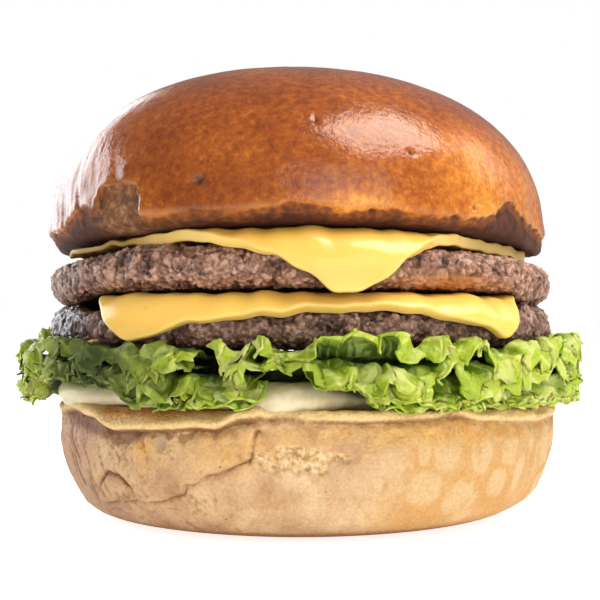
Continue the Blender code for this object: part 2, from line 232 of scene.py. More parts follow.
# Patches of the skin: the middle as degrees and height, half the width and half the height
TORN_CRUMB = (-1.5, 0.0178, 0.0108, 0.0031)
GREY_DENT = (-31, 0.0205, 0.0022, 0.0022)
GOLDEN_PATCHES = (
    (-16, 0.0200, 0.0080, 0.0040), (0, 0.0222, 0.0120, 0.0024), (-36, 0.0190, 0.0050, 0.0030),
    (24, 0.0222, 0.0160, 0.0022), (-150, 0.0180, 0.0140, 0.0060), (140, 0.0190, 0.0150, 0.0050),
)
# Burnt specks at the lower edge of the dent, and the pale ovals at the right
BURNT_SPECKS = (-29.5, 0.0178, 0.0030, 0.0013)
PALE_OVALS = (
    (37.7, 0.0178, 0.0028, 0.0036), (46.5, 0.0181, 0.0026, 0.0032), (23.2, 0.0192, 0.0014, 0.0026),
    (28.3, 0.0182, 0.0029, 0.0034), (16.2, 0.0148, 0.0040, 0.0038), (24.1, 0.0113, 0.0037, 0.0031),
    (34.0, 0.0091, 0.0043, 0.0031), (44.1, 0.0113, 0.0027, 0.0028), (51.8, 0.0128, 0.0018, 0.0039),
    (61.0, 0.0157, 0.0016, 0.0032), (55.4, 0.0194, 0.0014, 0.0020), (30.9, 0.0225, 0.0040, 0.0014),
    (17.3, 0.0200, 0.0025, 0.0015), (37.1, 0.0050, 0.0034, 0.0012), (5.0, 0.0110, 0.0060, 0.0060),
)
OVAL_SQUARENESS = 2.6
# How far each form of the skin stands out, or lies in where it is less than nothing
SKIN_DEPTHS = {
    "roll": 0.0010, "hollow": -0.0013, "crease": -0.0006, "flap": 0.0009, "belly": 0.0008,
    "fold_line": -0.0009, "ridge": 0.0007, "dent": -0.0005, "torn_lip": 0.00055, "torn": -0.0010,
    "fine_crumb": 0.00055, "deep_crumb": 0.00045, "pleats": 0.00060, "puckers": 0.00045,
    "wavy": 0.00020, "skin": 0.00026, "grain": 0.00006, "lines": -0.00014, "fissure": -0.00022,
}
# How much darker, browner colour lies in the low places of some of them: partly the skin's own
# tint, partly painted shade
CREASE_TINT_AND_SHADE_SHARES = {
    "pleats": -2.1, "puckers": -2.4, "wavy": -1.1, "lines": 0.5, "fissure": 0.7, "torn_lip": -1.6,
}
# The pressed left end: its middle and half its width, in degrees
PRESSED_END = (-68, 22)


def noise_at(x, y, z, seed):
    """Smooth noise from -1 to 1, the same each run. Each place comes divided by the length of
    the lumps or folds that it makes."""
    return noise.noise(Vector((x + 17.3 * seed, y - 9.1 * seed, z + 4.7 * seed)))


def around(phi, waves, seed):
    """Smooth noise along a circle, with about that many waves in a turn."""
    reach = waves / 4
    return noise_at(reach * math.cos(phi), reach * math.sin(phi), 0.0, seed)


def hill(away, width):
    """A smooth hill of height 1, at a distance away from its middle."""
    return math.exp(-((away / width) ** 2))


def wrapped(degrees):
    """The same angle between -180 and 180."""
    return (degrees + 180) % 360 - 180


def bump(phi, centre, width):
    """A smooth hill of height 1 over a stretch of a circle. centre and width are in degrees."""
    return hill(wrapped(math.degrees(phi) - centre), width)


def smooth_step(low, high, value):
    """0 up to low, 1 from high on, and smooth between. With high under low it runs the other
    way."""
    share = min(1.0, max(0.0, (value - low) / (high - low)))
    return share * share * (3 - 2 * share)


def point_at(radius, phi, z):
    """phi is 0 at the front, -Y, and grows towards +X."""
    return Vector((radius * math.sin(phi), -radius * math.cos(phi), z))


def phi_of(place, offset=0.0):
    """The phi of a place round an axis that stands offset to the right."""
    return math.atan2(place.x - offset, -place.y)


def round_side(degrees):
    """How long that many degrees are on the side of the bun."""
    return degrees * math.pi / 180 * BUN_RADIUS


def patch(phi, z, where):
    """A smooth hill on the side of the burger. where is its middle, as degrees and height, and
    half its width and half its height."""
    away = round_side(wrapped(math.degrees(phi) - where[0]))
    return math.exp(-((away / where[2]) ** 2) - ((z - where[1]) / where[3]) ** 2)


def pale_oval(phi, z):
    """1 on the pale ovals at the right, 0 on the golden net between them."""
    edge = 0.55 * noise_at(phi * BUN_RADIUS / 0.0028, z / 0.0034, 0, 57)
    edge += 0.25 * noise_at(phi * BUN_RADIUS / 0.0009, z / 0.0024, 0, 61)
    nearest = min(
        (round_side(abs(math.degrees(phi) - middle)) / wide) ** OVAL_SQUARENESS
        + (abs(z - height) / high) ** OVAL_SQUARENESS
        for middle, height, wide, high in PALE_OVALS
    )
    return smooth_step(1.75, 0.55, nearest + edge)


def height_along(line, degrees):
    """The height at degrees of a line given by a few points."""
    if degrees <= line[0][0]:
        return line[0][1]
    for (start, low), (end, high) in zip(line, line[1:]):
        if degrees <= end:
            return low + (high - low) * smooth_step(start, end, degrees)
    return line[-1][1]


def arc(start, end, steps, corner, wide, high, power):
    """Points of a superellipse about corner, (radius, z), from one angle to another in degrees."""
    points = []
    for step in range(steps + 1):
        angle = math.radians(start + (end - start) * step / steps)
        across = abs(math.cos(angle)) ** (2 / power)
        up = math.copysign(abs(math.sin(angle)) ** (2 / power), math.sin(angle))
        points.append((corner[0] + wide * across, corner[1] + high * up))
    return points


def even_profile(points, spacing):
    """Points an even distance apart on a smooth curve through the points of a profile."""
    fine = []
    last = len(points) - 1
    for index in range(last):
        a, b, c, d = (points[max(0, min(last, index + shift))] for shift in (-1, 0, 1, 2))
        for part in range(12):
            t = part / 12
            fine.append([
                (2 * b[k] + (c[k] - a[k]) * t + (2 * a[k] - 5 * b[k] + 4 * c[k] - d[k]) * t * t
                 + (3 * b[k] - a[k] - 3 * c[k] + d[k]) * t ** 3) / 2
                for k in (0, 1)
            ])
    fine.append(points[-1])
    gaps = [math.dist(one, other) for one, other in zip(fine, fine[1:])]
    steps = round(sum(gaps) / spacing)
    even, walked, index = [tuple(points[0])], 0.0, 0
    for step in range(1, steps):
        wanted = sum(gaps) * step / steps
        while walked + gaps[index] < wanted:
            walked += gaps[index]
            index += 1
        share = (wanted - walked) / gaps[index]
        even.append(tuple(
            fine[index][k] + (fine[index + 1][k] - fine[index][k]) * share for k in (0, 1)
        ))
    return even + [tuple(points[-1])]


def turned_body(profile, columns, shape):
    """A closed round body. profile holds (radius, z) from the top middle to the bottom middle,
    and shape(radius, phi, z) gives the place of each of its points. The columns crowd together
    at the front, where the photograph looks."""
    bm = bmesh.new()
    even_turns = [2 * math.pi * column / columns - math.pi for column in range(columns)]
    turns = [turn - FRONT_CROWDING * math.sin(turn) for turn in even_turns]
    top, bottom = (bm.verts.new(shape(radius, 0.0, z)) for radius, z in (profile[0], profile[-1]))
    rings = [
        [bm.verts.new(shape(radius, phi, z)) for phi in turns] for radius, z in profile[1:-1]
    ]
    for column in range(columns):
        before = column - 1
        bm.faces.new((top, rings[0][before], rings[0][column]))
        bm.faces.new((bottom, rings[-1][column], rings[-1][before]))
        for upper, lower in zip(rings, rings[1:]):
            bm.faces.new((upper[before], lower[before], lower[column], upper[column]))
    return bm


def press_relief(bm, relief):
    """Move each vertex along its normal by the push that relief(vertex) gives, and keep the
    marks that come with it as attributes, which the material reads."""
    bm.normal_update()
    found = [relief(vertex) for vertex in bm.verts]
    names = list(found[0][1])
    layers = [bm.verts.layers.float.new(name) for name in names]
    for vertex, (push, marks) in zip(bm.verts, found):
        for name, layer in zip(names, layers):
            vertex[layer] = marks[name]
    normals = [vertex.normal.copy() for vertex in bm.verts]
    for vertex, normal, (push, marks) in zip(bm.verts, normals, found):
        vertex.co += normal * push


def piece_from(bm, name, finish, slot, *nodes):
    """The finished piece: it rides with the burger and stands for its plain solids."""
    mesh = bpy.data.meshes.new(name)
    bm.to_mesh(mesh)
    bm.free()
    mesh.shade_smooth()
    mesh.materials.append(finish)
    made = bpy.data.objects.new(name, mesh)
    scene.collection.objects.link(made)
    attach(made, "root")
    if nodes:
        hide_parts(*nodes)
    return made


def crease_height(phi):
    """The height of the crease that runs round under the toasted lip."""
    return height_along(CREASE, math.degrees(phi)) + 0.0004 * around(phi, 34, 5)


def heel_shape(radius, phi, z):
    """The heel's round form, uneven as it was baked and folded at the left where it is pressed."""
    share = radius / BUN_RADIUS
    side = smooth_step(0.80, 0.95, share)
    swell = 0.008 * around(phi, 6, 6) + 0.004 * around(phi, 16, 7)
    below = smooth_step(0.004, 0.016, z) * smooth_step(0.0235, 0.016, z)
    folds = 0.011 * around(phi, 26, 8) * below * (0.3 + bump(phi, -66, 26))
    radius *= 1 + (swell + folds) * side
    if z > HEEL_HEIGHT - 0.0001:
        z -= 0.0004 * (1 + noise_at(share * 3 * math.cos(phi), share * 3 * math.sin(phi), 0, 9))
    place = point_at(radius, phi, z)
    place.x += HEEL_OFFSET * smooth_step(0, 0.008, z)
    return place


def toasted_lip(vertex, phi, gap):
    """The lip that rolled over as the heel was toasted, and the crease and the hollow under it.
    gap is the height over the crease."""
    degrees, along, z = math.degrees(phi), phi * BUN_RADIUS, vertex.co.z
    left_lip = smooth_step(-72, -60, degrees) * smooth_step(-5, -14, degrees)
    strength = 0.40 + 0.60 * left_lip + 0.45 * bump(phi, 14, 26) + 0.4 * bump(phi, 130, 60)
    damp = smooth_step(-30, -42, degrees) * smooth_step(-150, -100, degrees)
    hollow = smooth_step(-0.0016 - 0.0044 * damp, -0.0003, gap) * smooth_step(0.0002, -0.0002, gap)
    torn_lip = noise_at(along / 0.0026, z / 0.0010, 0, 59) * smooth_step(0.0, 0.0008, gap)
    torn_lip *= smooth_step(-20, -8, degrees) * smooth_step(-0.2, 0.5, vertex.normal.xy.length)
    puckers = noise_at(along / 0.0022, z / 0.0020, 0, 44) * smooth_step(-0.005, -0.001, gap)
    puckers *= smooth_step(0.0003, -0.0004, gap) * (0.4 + strength)
    return {
        "roll": hill(gap - 0.0013, 0.0011) * strength,
        "hollow": hollow * strength * (0.40 + 0.60 * damp),
        "crease": hill(gap, 0.0006) * strength,
        "torn_lip": torn_lip,
        "puckers": puckers,
    }


def flap_and_arch(phi, z):
    """The loose flap of skin at the front left, the arched fold under it, the short ridge over
    it, and the line that edges the flap and the arch, painted dark as shadow."""
    degrees, along = math.degrees(phi), phi * BUN_RADIUS
    over_edge = z - height_along(FLAP_EDGE, degrees) - 0.0006 * noise_at(along / 0.0035, 0, 0, 40)
    flap_here = smooth_step(-56, -50, degrees) * smooth_step(-8, -10, degrees)
    rise = height_along(FLAP_EDGE, degrees + 0.2) - height_along(FLAP_EDGE, degrees - 0.2)
    line_width = 0.0004 * math.hypot(1.0, rise / (math.radians(0.4) * BUN_RADIUS))
    line = flap_here * hill(over_edge + 0.0003, line_width)
    line *= 0.80 + 0.45 * noise_at(along / 0.004, z / 0.004, 0, 62)
    arch_away = (degrees - ARCH_MIDDLE) / (ARCH_LEFT if degrees < ARCH_MIDDLE else ARCH_RIGHT)
    arch = ARCH_TOP - ARCH_FALL * arch_away ** 2 + 0.0007 * noise_at(along / 0.0030, 0, 0, 63)
    arch_here = smooth_step(-54, -51, degrees) * smooth_step(-39.5, -41.5, degrees)
    line += 1.2 * hill(z - arch, 0.00055 * math.hypot(1.0, arch_away)) * arch_here
    belly = smooth_step(arch - 0.0002, arch - 0.0016, z) * smooth_step(0.006, 0.009, z)
    ridge = smooth_step(0.010, 0.013, z) * smooth_step(0.023, 0.020, z)
    flap = smooth_step(0, 0.0005, over_edge) * smooth_step(0.012, 0.003, over_edge)
    return {
        "flap": flap * flap_here,
        "belly": belly * arch_here,
        "fold_line": line,
        "ridge": ridge * hill(degrees + 36.5 + 160 * (z - 0.016), 0.9),
    }


def torn_and_dented(phi, z):
    """The place where the skin is torn off the crumb, and the grey dent."""
    along = phi * BUN_RADIUS
    torn_edge = 0.40 * noise_at(along / 0.0020, z / 0.0020, 0, 41)
    torn = smooth_step(0.42, 0.62, patch(phi, z, TORN_CRUMB) + torn_edge)
    dent_edge = 0.30 * noise_at(along / 0.0024, z / 0.0024, 0, 64)
    return {
        "torn": torn,
        "fine_crumb": torn * noise_at(along / 0.0012, z / 0.0011, 0, 47),
        "deep_crumb": torn * noise_at(along / 0.0026, z / 0.0020, 0, 49),
        "dent": smooth_step(0.38, 0.55, patch(phi, z, GREY_DENT) + dent_edge),
    }


def wrinkled_skin(place, phi):
    """Pleats where the burger is pressed at its ends, and waves, lines, cracks and grain all
    round."""
    z, along = place.z, phi * BUN_RADIUS
    pressed = bump(phi, *PRESSED_END)
    slanted = along + 0.30 * (z - 0.012)
    pleats = noise_at(slanted / 0.0016, z / 0.011, 0, 42) * pressed
    pleats += 0.8 * noise_at(slanted / 0.0019, z / 0.012, 0, 43) * bump(phi, 72, 13)
    pleats += 0.22 * noise_at(along / 0.0026, z / 0.014, 0, 43) * (1 - pressed)
    pleats += 0.5 * noise_at(slanted / 0.0008, z / 0.006, 0, 58) * pressed
    sway = 2 * noise_at(along / 0.012, z / 0.012, 0, 52)
    lines = 1 - min(1.0, 7 * abs(noise_at(along / 0.010, z / 0.0045, 0, 54)))
    fissure = 1 - min(1.0, 16 * abs(noise_at(along / 0.0085, z / 0.0085, 0, 55)))
    return {
        "pleats": pleats * smooth_step(0.003, 0.010, z),
        "wavy": noise_at(along / 0.0034 + sway, z / 0.0050, 0, 53),
        "skin": noise_at(along / 0.009, z / 0.005, 0, 45),
        "grain": noise_at(along / 0.0011, z / 0.0009, place.x / 0.004, 46),
        "lines": lines * smooth_step(0.014, 0.009, z),
        "fissure": fissure * smooth_step(0.15, 0.45, noise_at(along / 0.012, z / 0.009, 0, 56)),
    }


def heel_relief(vertex):
    """How far the skin stands out at a vertex, and the marks for its colours."""
    z = vertex.co.z
    phi = phi_of(vertex.co, HEEL_OFFSET)
    degrees, along = math.degrees(phi), phi * BUN_RADIUS
    gap = z - crease_height(phi)
    forms = toasted_lip(vertex, phi, gap)
    forms.update(flap_and_arch(phi, z))
    forms.update(torn_and_dented(phi, z))
    forms.update(wrinkled_skin(vertex.co, phi))
    side = smooth_step(0.0, 0.003, z) * smooth_step(0.3, 0.7, math.hypot(*vertex.normal.xy))
    push = sum(depth * forms[name] for name, depth in SKIN_DEPTHS.items())
    scattered = smooth_step(0.0, 0.25, noise_at(along / 0.0009, z / 0.0008, 0, 48))
    specks = patch(phi, z, BURNT_SPECKS) * scattered
    # low: the creases' tint and painted shade
    low = max(0.0, *(share * forms[name] for name, share in CREASE_TINT_AND_SHADE_SHARES.items()))
    gold = sum(patch(phi, z, where) for where in GOLDEN_PATCHES)
    marks = {
        "lip": max(-1.0, min(4.0, gap * 1000)),
        # fold: painted shade along the crease and the fold lines, and burnt specks
        "fold": min(1.0, forms["crease"] + forms["fold_line"] + specks),
        # hollow: painted shadow under the toasted lip, deepest at the left
        "hollow": min(1.0, 1.2 * forms["hollow"]),
        "torn": forms["torn"],
        "low": min(1.0, low),
        "gold": min(1.0, gold),
        "dent": forms["dent"],
        # shaded: painted shade over the left side, where less light falls
        "shaded": smooth_step(-2, -34, degrees) * smooth_step(-178, -150, degrees),
        "net": smooth_step(8, 24, degrees) * smooth_step(118, 95, degrees),
        "by_hand": smooth_step(64, 58, degrees) * smooth_step(0.0215, 0.0195, z),
        "oval": pale_oval(phi, z),
        "wrinkled": bump(phi, *PRESSED_END),
        "foot": smooth_step(0.0042, 0.0006, z),
    }
    return push * side, marks


def baked_bread_skin():
    """Brioche skin baked against the tin: matt, pale and fine-grained, golden where it touched
    metal, browner at the toasted lip and the foot."""
    finish, tree, shader = new_material("baked_brioche_skin", {
        "IOR": 1.42,
        "Subsurface Weight": 0.10,
        "Subsurface Scale": 0.0014,
        "Subsurface Radius": (1.0, 0.55, 0.25),
    })
    spot = add_node(tree, "TexCoord", {}, "Object")
    marks = {
        name: add_node(tree, "Attribute", {"attribute_name": name}, "Fac")
        for name in (
            "lip", "fold", "hollow", "torn", "low", "gold", "dent", "shaded", "net", "by_hand",
            "oval", "wrinkled", "foot",
        )
    }
    blotches = add_node(tree, "TexNoise", {"Vector": spot, "Scale": 1 / 0.009, "Detail": 5.0})
    speckle = add_node(tree, "TexNoise", {"Vector": spot, "Scale": 1 / 0.0011, "Detail": 5.0})
    pale = add_node(tree, "ValToRGB", {
        "Fac": blotches, "stops": {0.34: "#c19a70", 0.48: "#d1b088", 0.64: "#e0c49b"},
    })
    # At the left the skin is painted darker, tan and a little mauve, as painted shade where less
    # light falls
    shaded_tan = add_node(tree, "ValToRGB", {
        "Fac": blotches, "stops": {0.34: "#b98f6a", 0.50: "#d2aa7f", 0.66: "#e3c294"},
    })
    # Golden net: where the skin stuck to the tin in rounds of about 6 mm, it stayed pale
    warp = add_node(tree, "TexNoise", {"Vector": spot, "Scale": 1 / 0.009, "Detail": 2.0}, "Color")
    warped = add_node(tree, "VectorMath", {
        "operation": "MULTIPLY_ADD", 0: warp, 1: (0.0060, 0.0060, 0.0060), 2: spot,
    })
    tall = add_node(tree, "VectorMath", {"operation": "MULTIPLY", 0: warped, 1: (1.0, 1.0, 0.66)})
    cells = add_node(tree, "TexVoronoi", {
        "feature": "DISTANCE_TO_EDGE", "Vector": tall, "Scale": 1 / 0.0075,
    })
    lines = add_node(tree, "MapRange", {
        "interpolation_type": "SMOOTHSTEP", "Value": cells, "From Min": 0.03, "From Max": 0.24,
        "To Min": 0.85, "To Max": 0.0,
    })
    round_lines = add_node(tree, "Mix", {
        "data_type": "FLOAT", "Factor": marks["by_hand"], "A": lines, "B": add_node(
            tree, "MapRange", {"Value": marks["oval"], "To Min": 0.80, "To Max": 0.0},
        ),
    })
    net = add_node(tree, "Math", {"operation": "MULTIPLY", 0: round_lines, 1: marks["net"]})
    uneven_net = add_node(tree, "Math", {"operation": "MULTIPLY", 0: net, 1: add_node(
        tree, "MapRange", {"Value": blotches, "From Min": 0.3, "From Max": 0.6, "To Min": 0.5},
    )})
    gold_share = add_node(tree, "Math", {"operation": "MULTIPLY", 0: marks["gold"], 1: add_node(
        tree, "MapRange", {"Value": blotches, "From Min": 0.32, "From Max": 0.60, "To Max": 0.9},
    )})
    # The pressed left end is pinker and darker
    left_end_share = add_node(tree, "Math", {"operation": "MULTIPLY", 0: marks["wrinkled"], 1: 0.7})
    dent_share = add_node(tree, "Math", {"operation": "MULTIPLY", 0: marks["dent"], 1: 0.7})
    # The other marks' edges are broken up by the speckle: how much, where a mark's colour sets
    # in and where it is full, and how much of it shows
    broken = {}
    for mark, speckled, start, full, most in (
        ("low", 1.6, 0.95, 1.75, 1.0), ("hollow", 0.9, 0.72, 1.30, 0.85),
        ("lip", 0.8, 0.35, 0.60, 1.0), ("foot", 0.5, 0.55, 1.10, 1.0),
        ("fold", 0.8, 0.70, 1.35, 0.85),
    ):
        level = add_node(tree, "Math", {
            "operation": "MULTIPLY_ADD", 0: speckle, 1: speckled, 2: marks[mark],
        })
        broken[mark] = add_node(tree, "MapRange", {
            "interpolation_type": "SMOOTHSTEP", "Value": level, "From Min": start,
            "From Max": full, "To Max": most,
        })
    # Darker, browner colour in the low places of the skin, partly its own tint and partly painted
    # shade, more of it and darker at the left where the shade is painted
    crease_tint_and_shade_share = add_node(tree, "Math", {"operation": "MULTIPLY", 0: broken["low"], 1: add_node(
        tree, "MapRange", {"Value": marks["shaded"], "To Min": 0.45, "To Max": 0.80},
    )})
    crease_tint_and_shade = add_node(tree, "Mix", {
        "data_type": "RGBA", "Factor": marks["shaded"], "A": linear("#bd8745"),
        "B": linear("#87593a"),
    })
    # Toasted lip: cream where it has rolled over, orange-brown along its upper edge
    toast_level = add_node(tree, "Math", {
        "operation": "MULTIPLY_ADD", 0: blotches, 1: 3.0, 2: add_node(tree, "Math", {
            "operation": "MULTIPLY_ADD", 0: speckle, 1: 1.6, 2: marks["lip"],
        }),
    })
    toast = add_node(tree, "ValToRGB", {
        "Fac": add_node(tree, "MapRange", {
            "Value": toast_level, "From Min": 1.5, "From Max": 6.5,
        }),
        "stops": {
            0.08: "#c99f66", 0.30: "#edcf96", 0.62: "#ebc583", 0.84: "#d99c54", 0.98: "#b3722f",
        },
    })
    crumb = add_node(tree, "ValToRGB", {
        "Fac": speckle, "stops": {0.34: "#b08c5a", 0.48: "#dcbc8a", 0.64: "#efd8ae"},
    })
    # Tiny dark pores, about one to every 7 mm
    pores = add_node(tree, "TexVoronoi", {"Vector": spot, "Scale": 1 / 0.007, "Randomness": 1.0})
    pore = add_node(tree, "MapRange", {
        "interpolation_type": "SMOOTHSTEP", "Value": pores, "From Min": 0.03, "From Max": 0.055,
        "To Min": 0.75, "To Max": 0.0,
    })
    # From the pale skin up: tan skin painted in shade at the left, the net's ground and its lines,
    # gold, the pinker left end, the creases' tint and painted shade, the dent, painted shadow in
    # the hollow under the lip, the toasted lip, torn crumb, the browner foot, painted shade along
    # the crease and fold lines with burnt specks, and pores
    skin = pale
    for share, tint in (
        (marks["shaded"], shaded_tan),
        (marks["net"], linear("#d5b686")),
        (uneven_net, linear("#c99651")),
        (gold_share, linear("#e0b064")),
        (left_end_share, linear("#c29b7c")),
        (crease_tint_and_shade_share, crease_tint_and_shade),
        (dent_share, linear("#b89f80")),
        (broken["hollow"], linear("#845840")),
        (broken["lip"], toast),
        (marks["torn"], crumb),
        (broken["foot"], linear("#a87038")),
        (broken["fold"], linear("#805228")),
        (pore, linear("#6b3f1e")),
    ):
        skin = add_node(tree, "Mix", {"data_type": "RGBA", "Factor": share, "A": skin, "B": tint})
    # Bubbles and grains of the skin, a third of a millimetre wide, a little lighter and darker
    grains = add_node(tree, "TexNoise", {
        "Vector": spot, "Scale": 1 / 0.0007, "Detail": 6.0, "Roughness": 0.7,
    })
    grain_light = add_node(tree, "MapRange", {
        "Value": grains, "From Min": 0.30, "From Max": 0.70, "To Min": 0.83, "To Max": 1.16,
    })
    grained = add_node(tree, "Mix", {
        "data_type": "RGBA", "blend_type": "MULTIPLY", "Factor": 1.0, "A": skin,
        "B": add_node(tree, "CombineColor", {
            "Red": grain_light, "Green": grain_light, "Blue": grain_light,
        }),
    })
    tree.links.new(grained, shader.inputs["Base Color"])
    roughness = add_node(tree, "MapRange", {"Value": blotches, "To Min": 0.45, "To Max": 0.75})
    tree.links.new(roughness, shader.inputs["Roughness"])
    fine = add_node(tree, "TexNoise", {"Vector": spot, "Scale": 1 / 0.0006, "Detail": 4.0})
    wrinkle = add_node(tree, "TexNoise", {"Vector": spot, "Scale": 1 / 0.003, "Detail": 6.0})
    bumps = add_node(tree, "Math", {"operation": "MULTIPLY_ADD", 0: wrinkle, 1: 1.6, 2: fine})
    relief = add_node(tree, "Bump", {"Strength": 0.9, "Distance": 0.0005, "Height": bumps})
    tree.links.new(relief, shader.inputs["Normal"])
    return finish


heel_edge = (BUN_RADIUS - HEEL_TOP_EDGE, HEEL_HEIGHT - HEEL_TOP_EDGE)
heel_rim = arc(90, 0, 12, heel_edge, HEEL_TOP_EDGE, HEEL_TOP_EDGE, 2.2)
heel_side = even_profile(heel_rim + list(HEEL_SIDE), HEEL_ROW)
heel_top = [(heel_edge[0] * share, HEEL_HEIGHT) for share in (0.0, 0.3, 0.6, 0.8, 0.93)]
heel_foot = [(HEEL_SIDE[-1][0] * share, 0.0) for share in (0.9, 0.7, 0.4, 0.0)]
heel_bm = turned_body(heel_top + heel_side + heel_foot, HEEL_COLUMNS, heel_shape)
press_relief(heel_bm, heel_relief)
piece_from(heel_bm, "heel_bread", baked_bread_skin(), "bun_base", "bun_heel")


# Mayonnaise: spread on the heel with a knife, and squeezed out by the weight above into thick
# glossy lobes at the front and the left.

# The air between one layer and the next
CLEARANCE = 0.0003
SAUCE_RADIUS = 0.046
SAUCE_HEIGHT = 0.0020
SAUCE_SWELL = 0.0030
SAUCE_EDGE = 0.0035
# How much further than its radius the spread runs out, as a share, and the most of it
SAUCE_RUN = 0.27
SAUCE_FARTHEST = 0.285
SAUCE_COLUMNS = 360
SAUCE_BASE = HEEL_HEIGHT + CLEARANCE
# How far its foot sinks onto the uneven bread, and droops over the toasted lip
SAUCE_SETTLE = 0.0008
SAUCE_DROOP = 0.0014


def sauce_bulge(phi):
    """How much the spread swells at phi, from 0 to 1."""
    return min(1.0, bump(phi, -3, 15) + bump(phi, -62, 24) + 0.7 * bump(phi, 118, 20))


def sauce_top(radius, phi):
    """The height of the spread's surface, which the leaves lie over."""
    swell = SAUCE_SWELL * sauce_bulge(phi) * smooth_step(0.034, 0.050, radius)
    return SAUCE_BASE + SAUCE_HEIGHT + swell


def sauce_reach(phi):
    """How far from the middle the spread ends."""
    spread = SAUCE_RUN * sauce_bulge(phi) + 0.15 * bump(phi, -30, 15) + 0.06 * bump(phi, 15, 10)
    return SAUCE_RADIUS * (1 + min(spread, SAUCE_FARTHEST) + 0.04 * around(phi, 9, 21))


def sauce_shape(radius, phi, z):
    radius *= sauce_reach(phi) / SAUCE_RADIUS
    foot = SAUCE_BASE - SAUCE_SETTLE - SAUCE_DROOP * smooth_step(0.052, 0.0590, radius)
    up = (z - SAUCE_BASE) / SAUCE_HEIGHT
    return point_at(radius, phi, foot + up * (sauce_top(radius, phi) - foot))


def sauce_relief(vertex):
    """Lumps and the smears of the knife at its edge."""
    place = vertex.co
    edge = smooth_step(0.036, 0.046, math.hypot(place.x, place.y))
    lumps = noise_at(place.x / 0.006, place.y / 0.006, place.z / 0.0035, 50)
    smears = noise_at(place.x / 0.0022, place.y / 0.0022, place.z / 0.0016, 51)
    # The mark at the front left is painted shade, tinted green as by light off the lettuce
    return edge * (0.0007 * lumps + 0.00022 * smears), {"thin": bump(phi_of(place), -66, 20)}


def thick_mayonnaise():
    """Egg and oil sauce: cream-white and glossy, with light going a little way into it, and
    painted greyer and greener at the front left, as shade tinted green by the lettuce."""
    finish, tree, shader = new_material("thick_mayonnaise", {
        "IOR": 1.46,
        "Roughness": 0.22,
        "Subsurface Weight": 0.6,
        "Subsurface Scale": 0.0025,
        "Subsurface Radius": (1.0, 0.85, 0.6),
    })
    spot = add_node(tree, "TexCoord", {}, "Object")
    thin = add_node(tree, "Attribute", {"attribute_name": "thin"}, "Fac")
    smears = add_node(tree, "TexNoise", {"Vector": spot, "Scale": 1 / 0.004, "Detail": 3.0})
    cream = add_node(tree, "ValToRGB", {
        "Fac": smears, "stops": {0.35: "#cec29e", 0.60: "#e3dabd"},
    })
    # Painted shade at the left: greyer and greener
    shaded_green_left_share = add_node(tree, "Math", {"operation": "MULTIPLY", 0: thin, 1: 0.75})
    tint = add_node(tree, "Mix", {
        "data_type": "RGBA", "Factor": shaded_green_left_share, "A": cream, "B": linear("#d6cfa8"),
    })
    tree.links.new(tint, shader.inputs["Base Color"])
    relief = add_node(tree, "Bump", {"Strength": 0.35, "Distance": 0.0006, "Height": smears})
    tree.links.new(relief, shader.inputs["Normal"])
    return finish


sauce_corner = (SAUCE_RADIUS - SAUCE_EDGE, SAUCE_BASE + SAUCE_HEIGHT / 2)
sauce_rim = arc(90, -90, 22, sauce_corner, SAUCE_EDGE, SAUCE_HEIGHT / 2, 2.0)
sauce_middle = [
    (sauce_corner[0] * share, SAUCE_BASE + SAUCE_HEIGHT) for share in (0, 0.4, 0.7, 0.8, 0.9)
]
sauce_bm = turned_body(sauce_middle + sauce_rim + [(0, SAUCE_BASE)], SAUCE_COLUMNS, sauce_shape)
press_relief(sauce_bm, sauce_relief)
piece_from(sauce_bm, "mayonnaise_spread", thick_mayonnaise(), "mayonnaise", "mayonnaise")


# Lettuce: four leaves of a frilly green lettuce in two tiers, torn to size and tucked under the
# lower patty. Each leaf's margin is longer than the leaf is, so it ruffles, curls over and
# hangs down in pleats with a toothed edge.

LEAF_THICKNESS = 0.0004
# How far apart a frill's points are along its margin, and how many there are from its root out
LEAF_COLUMN = 0.00042
FRILL_STEPS = 20
# How far out the frills reach, and where the leaf's folded part hangs under the patty
LEAF_REACH = 0.0638
FOLDED_WALL = 0.0470
# The crumples of a leaf: how long and how deep they are
CRUMPLES = ((0.0054, 0.0030), (0.0027, 0.0014), (0.0014, 0.0005))
# How far apart the teeth of the margin are
TOOTH = 0.0025
LEAF_RADIUS = 0.062
# The patty above: the leaves lie against it
PATTY_RADIUS = 0.0600
PATTY_UNEVEN = 0.020
PATTY_FLATTER = 0.055
FLAT_FRONT = (0, 40)
LOWER_PATTY_SEED = 11
LOWER_PATTY_BOTTOM = 0.0386
# How far in from the patty's edge the frills start
ROOT_INSET = 0.0015
# Half the thickness of the plain solid leaf
LEAF_HALF = 0.00045
UNDER_PATTY = LOWER_PATTY_BOTTOM - CLEARANCE - LEAF_HALF
# The part of a leaf that is hidden under the patty, and the part folded down on the sauce
HIDDEN_RADII = (0.006, 0.020, 0.034, 0.044, 0.050)
HIDDEN_COLUMNS = 120
WALL_COLUMNS = 240
WALL_ROWS = 4
# The upper leaves sag between the sauce and the patty: at this radius, this wide and this deep
SAG_RADIUS = 0.036
SAG_WIDTH = 0.009
LEAF_SAG = 0.0026
# The leaves' inner parts: start and end angle in degrees, and height under the patty
UPPER_TIER = UNDER_PATTY - CLEARANCE
LOWER_TIER = 0.0316
LEAF_BASES = {
    "lettuce_leaf_left": (-170, -21, UPPER_TIER),
    "lettuce_leaf_right": (-13, 182, UPPER_TIER),
    "lettuce_leaf_front": (14, 82, LOWER_TIER),
    "lettuce_leaf_back": (92, 281, LOWER_TIER),
}
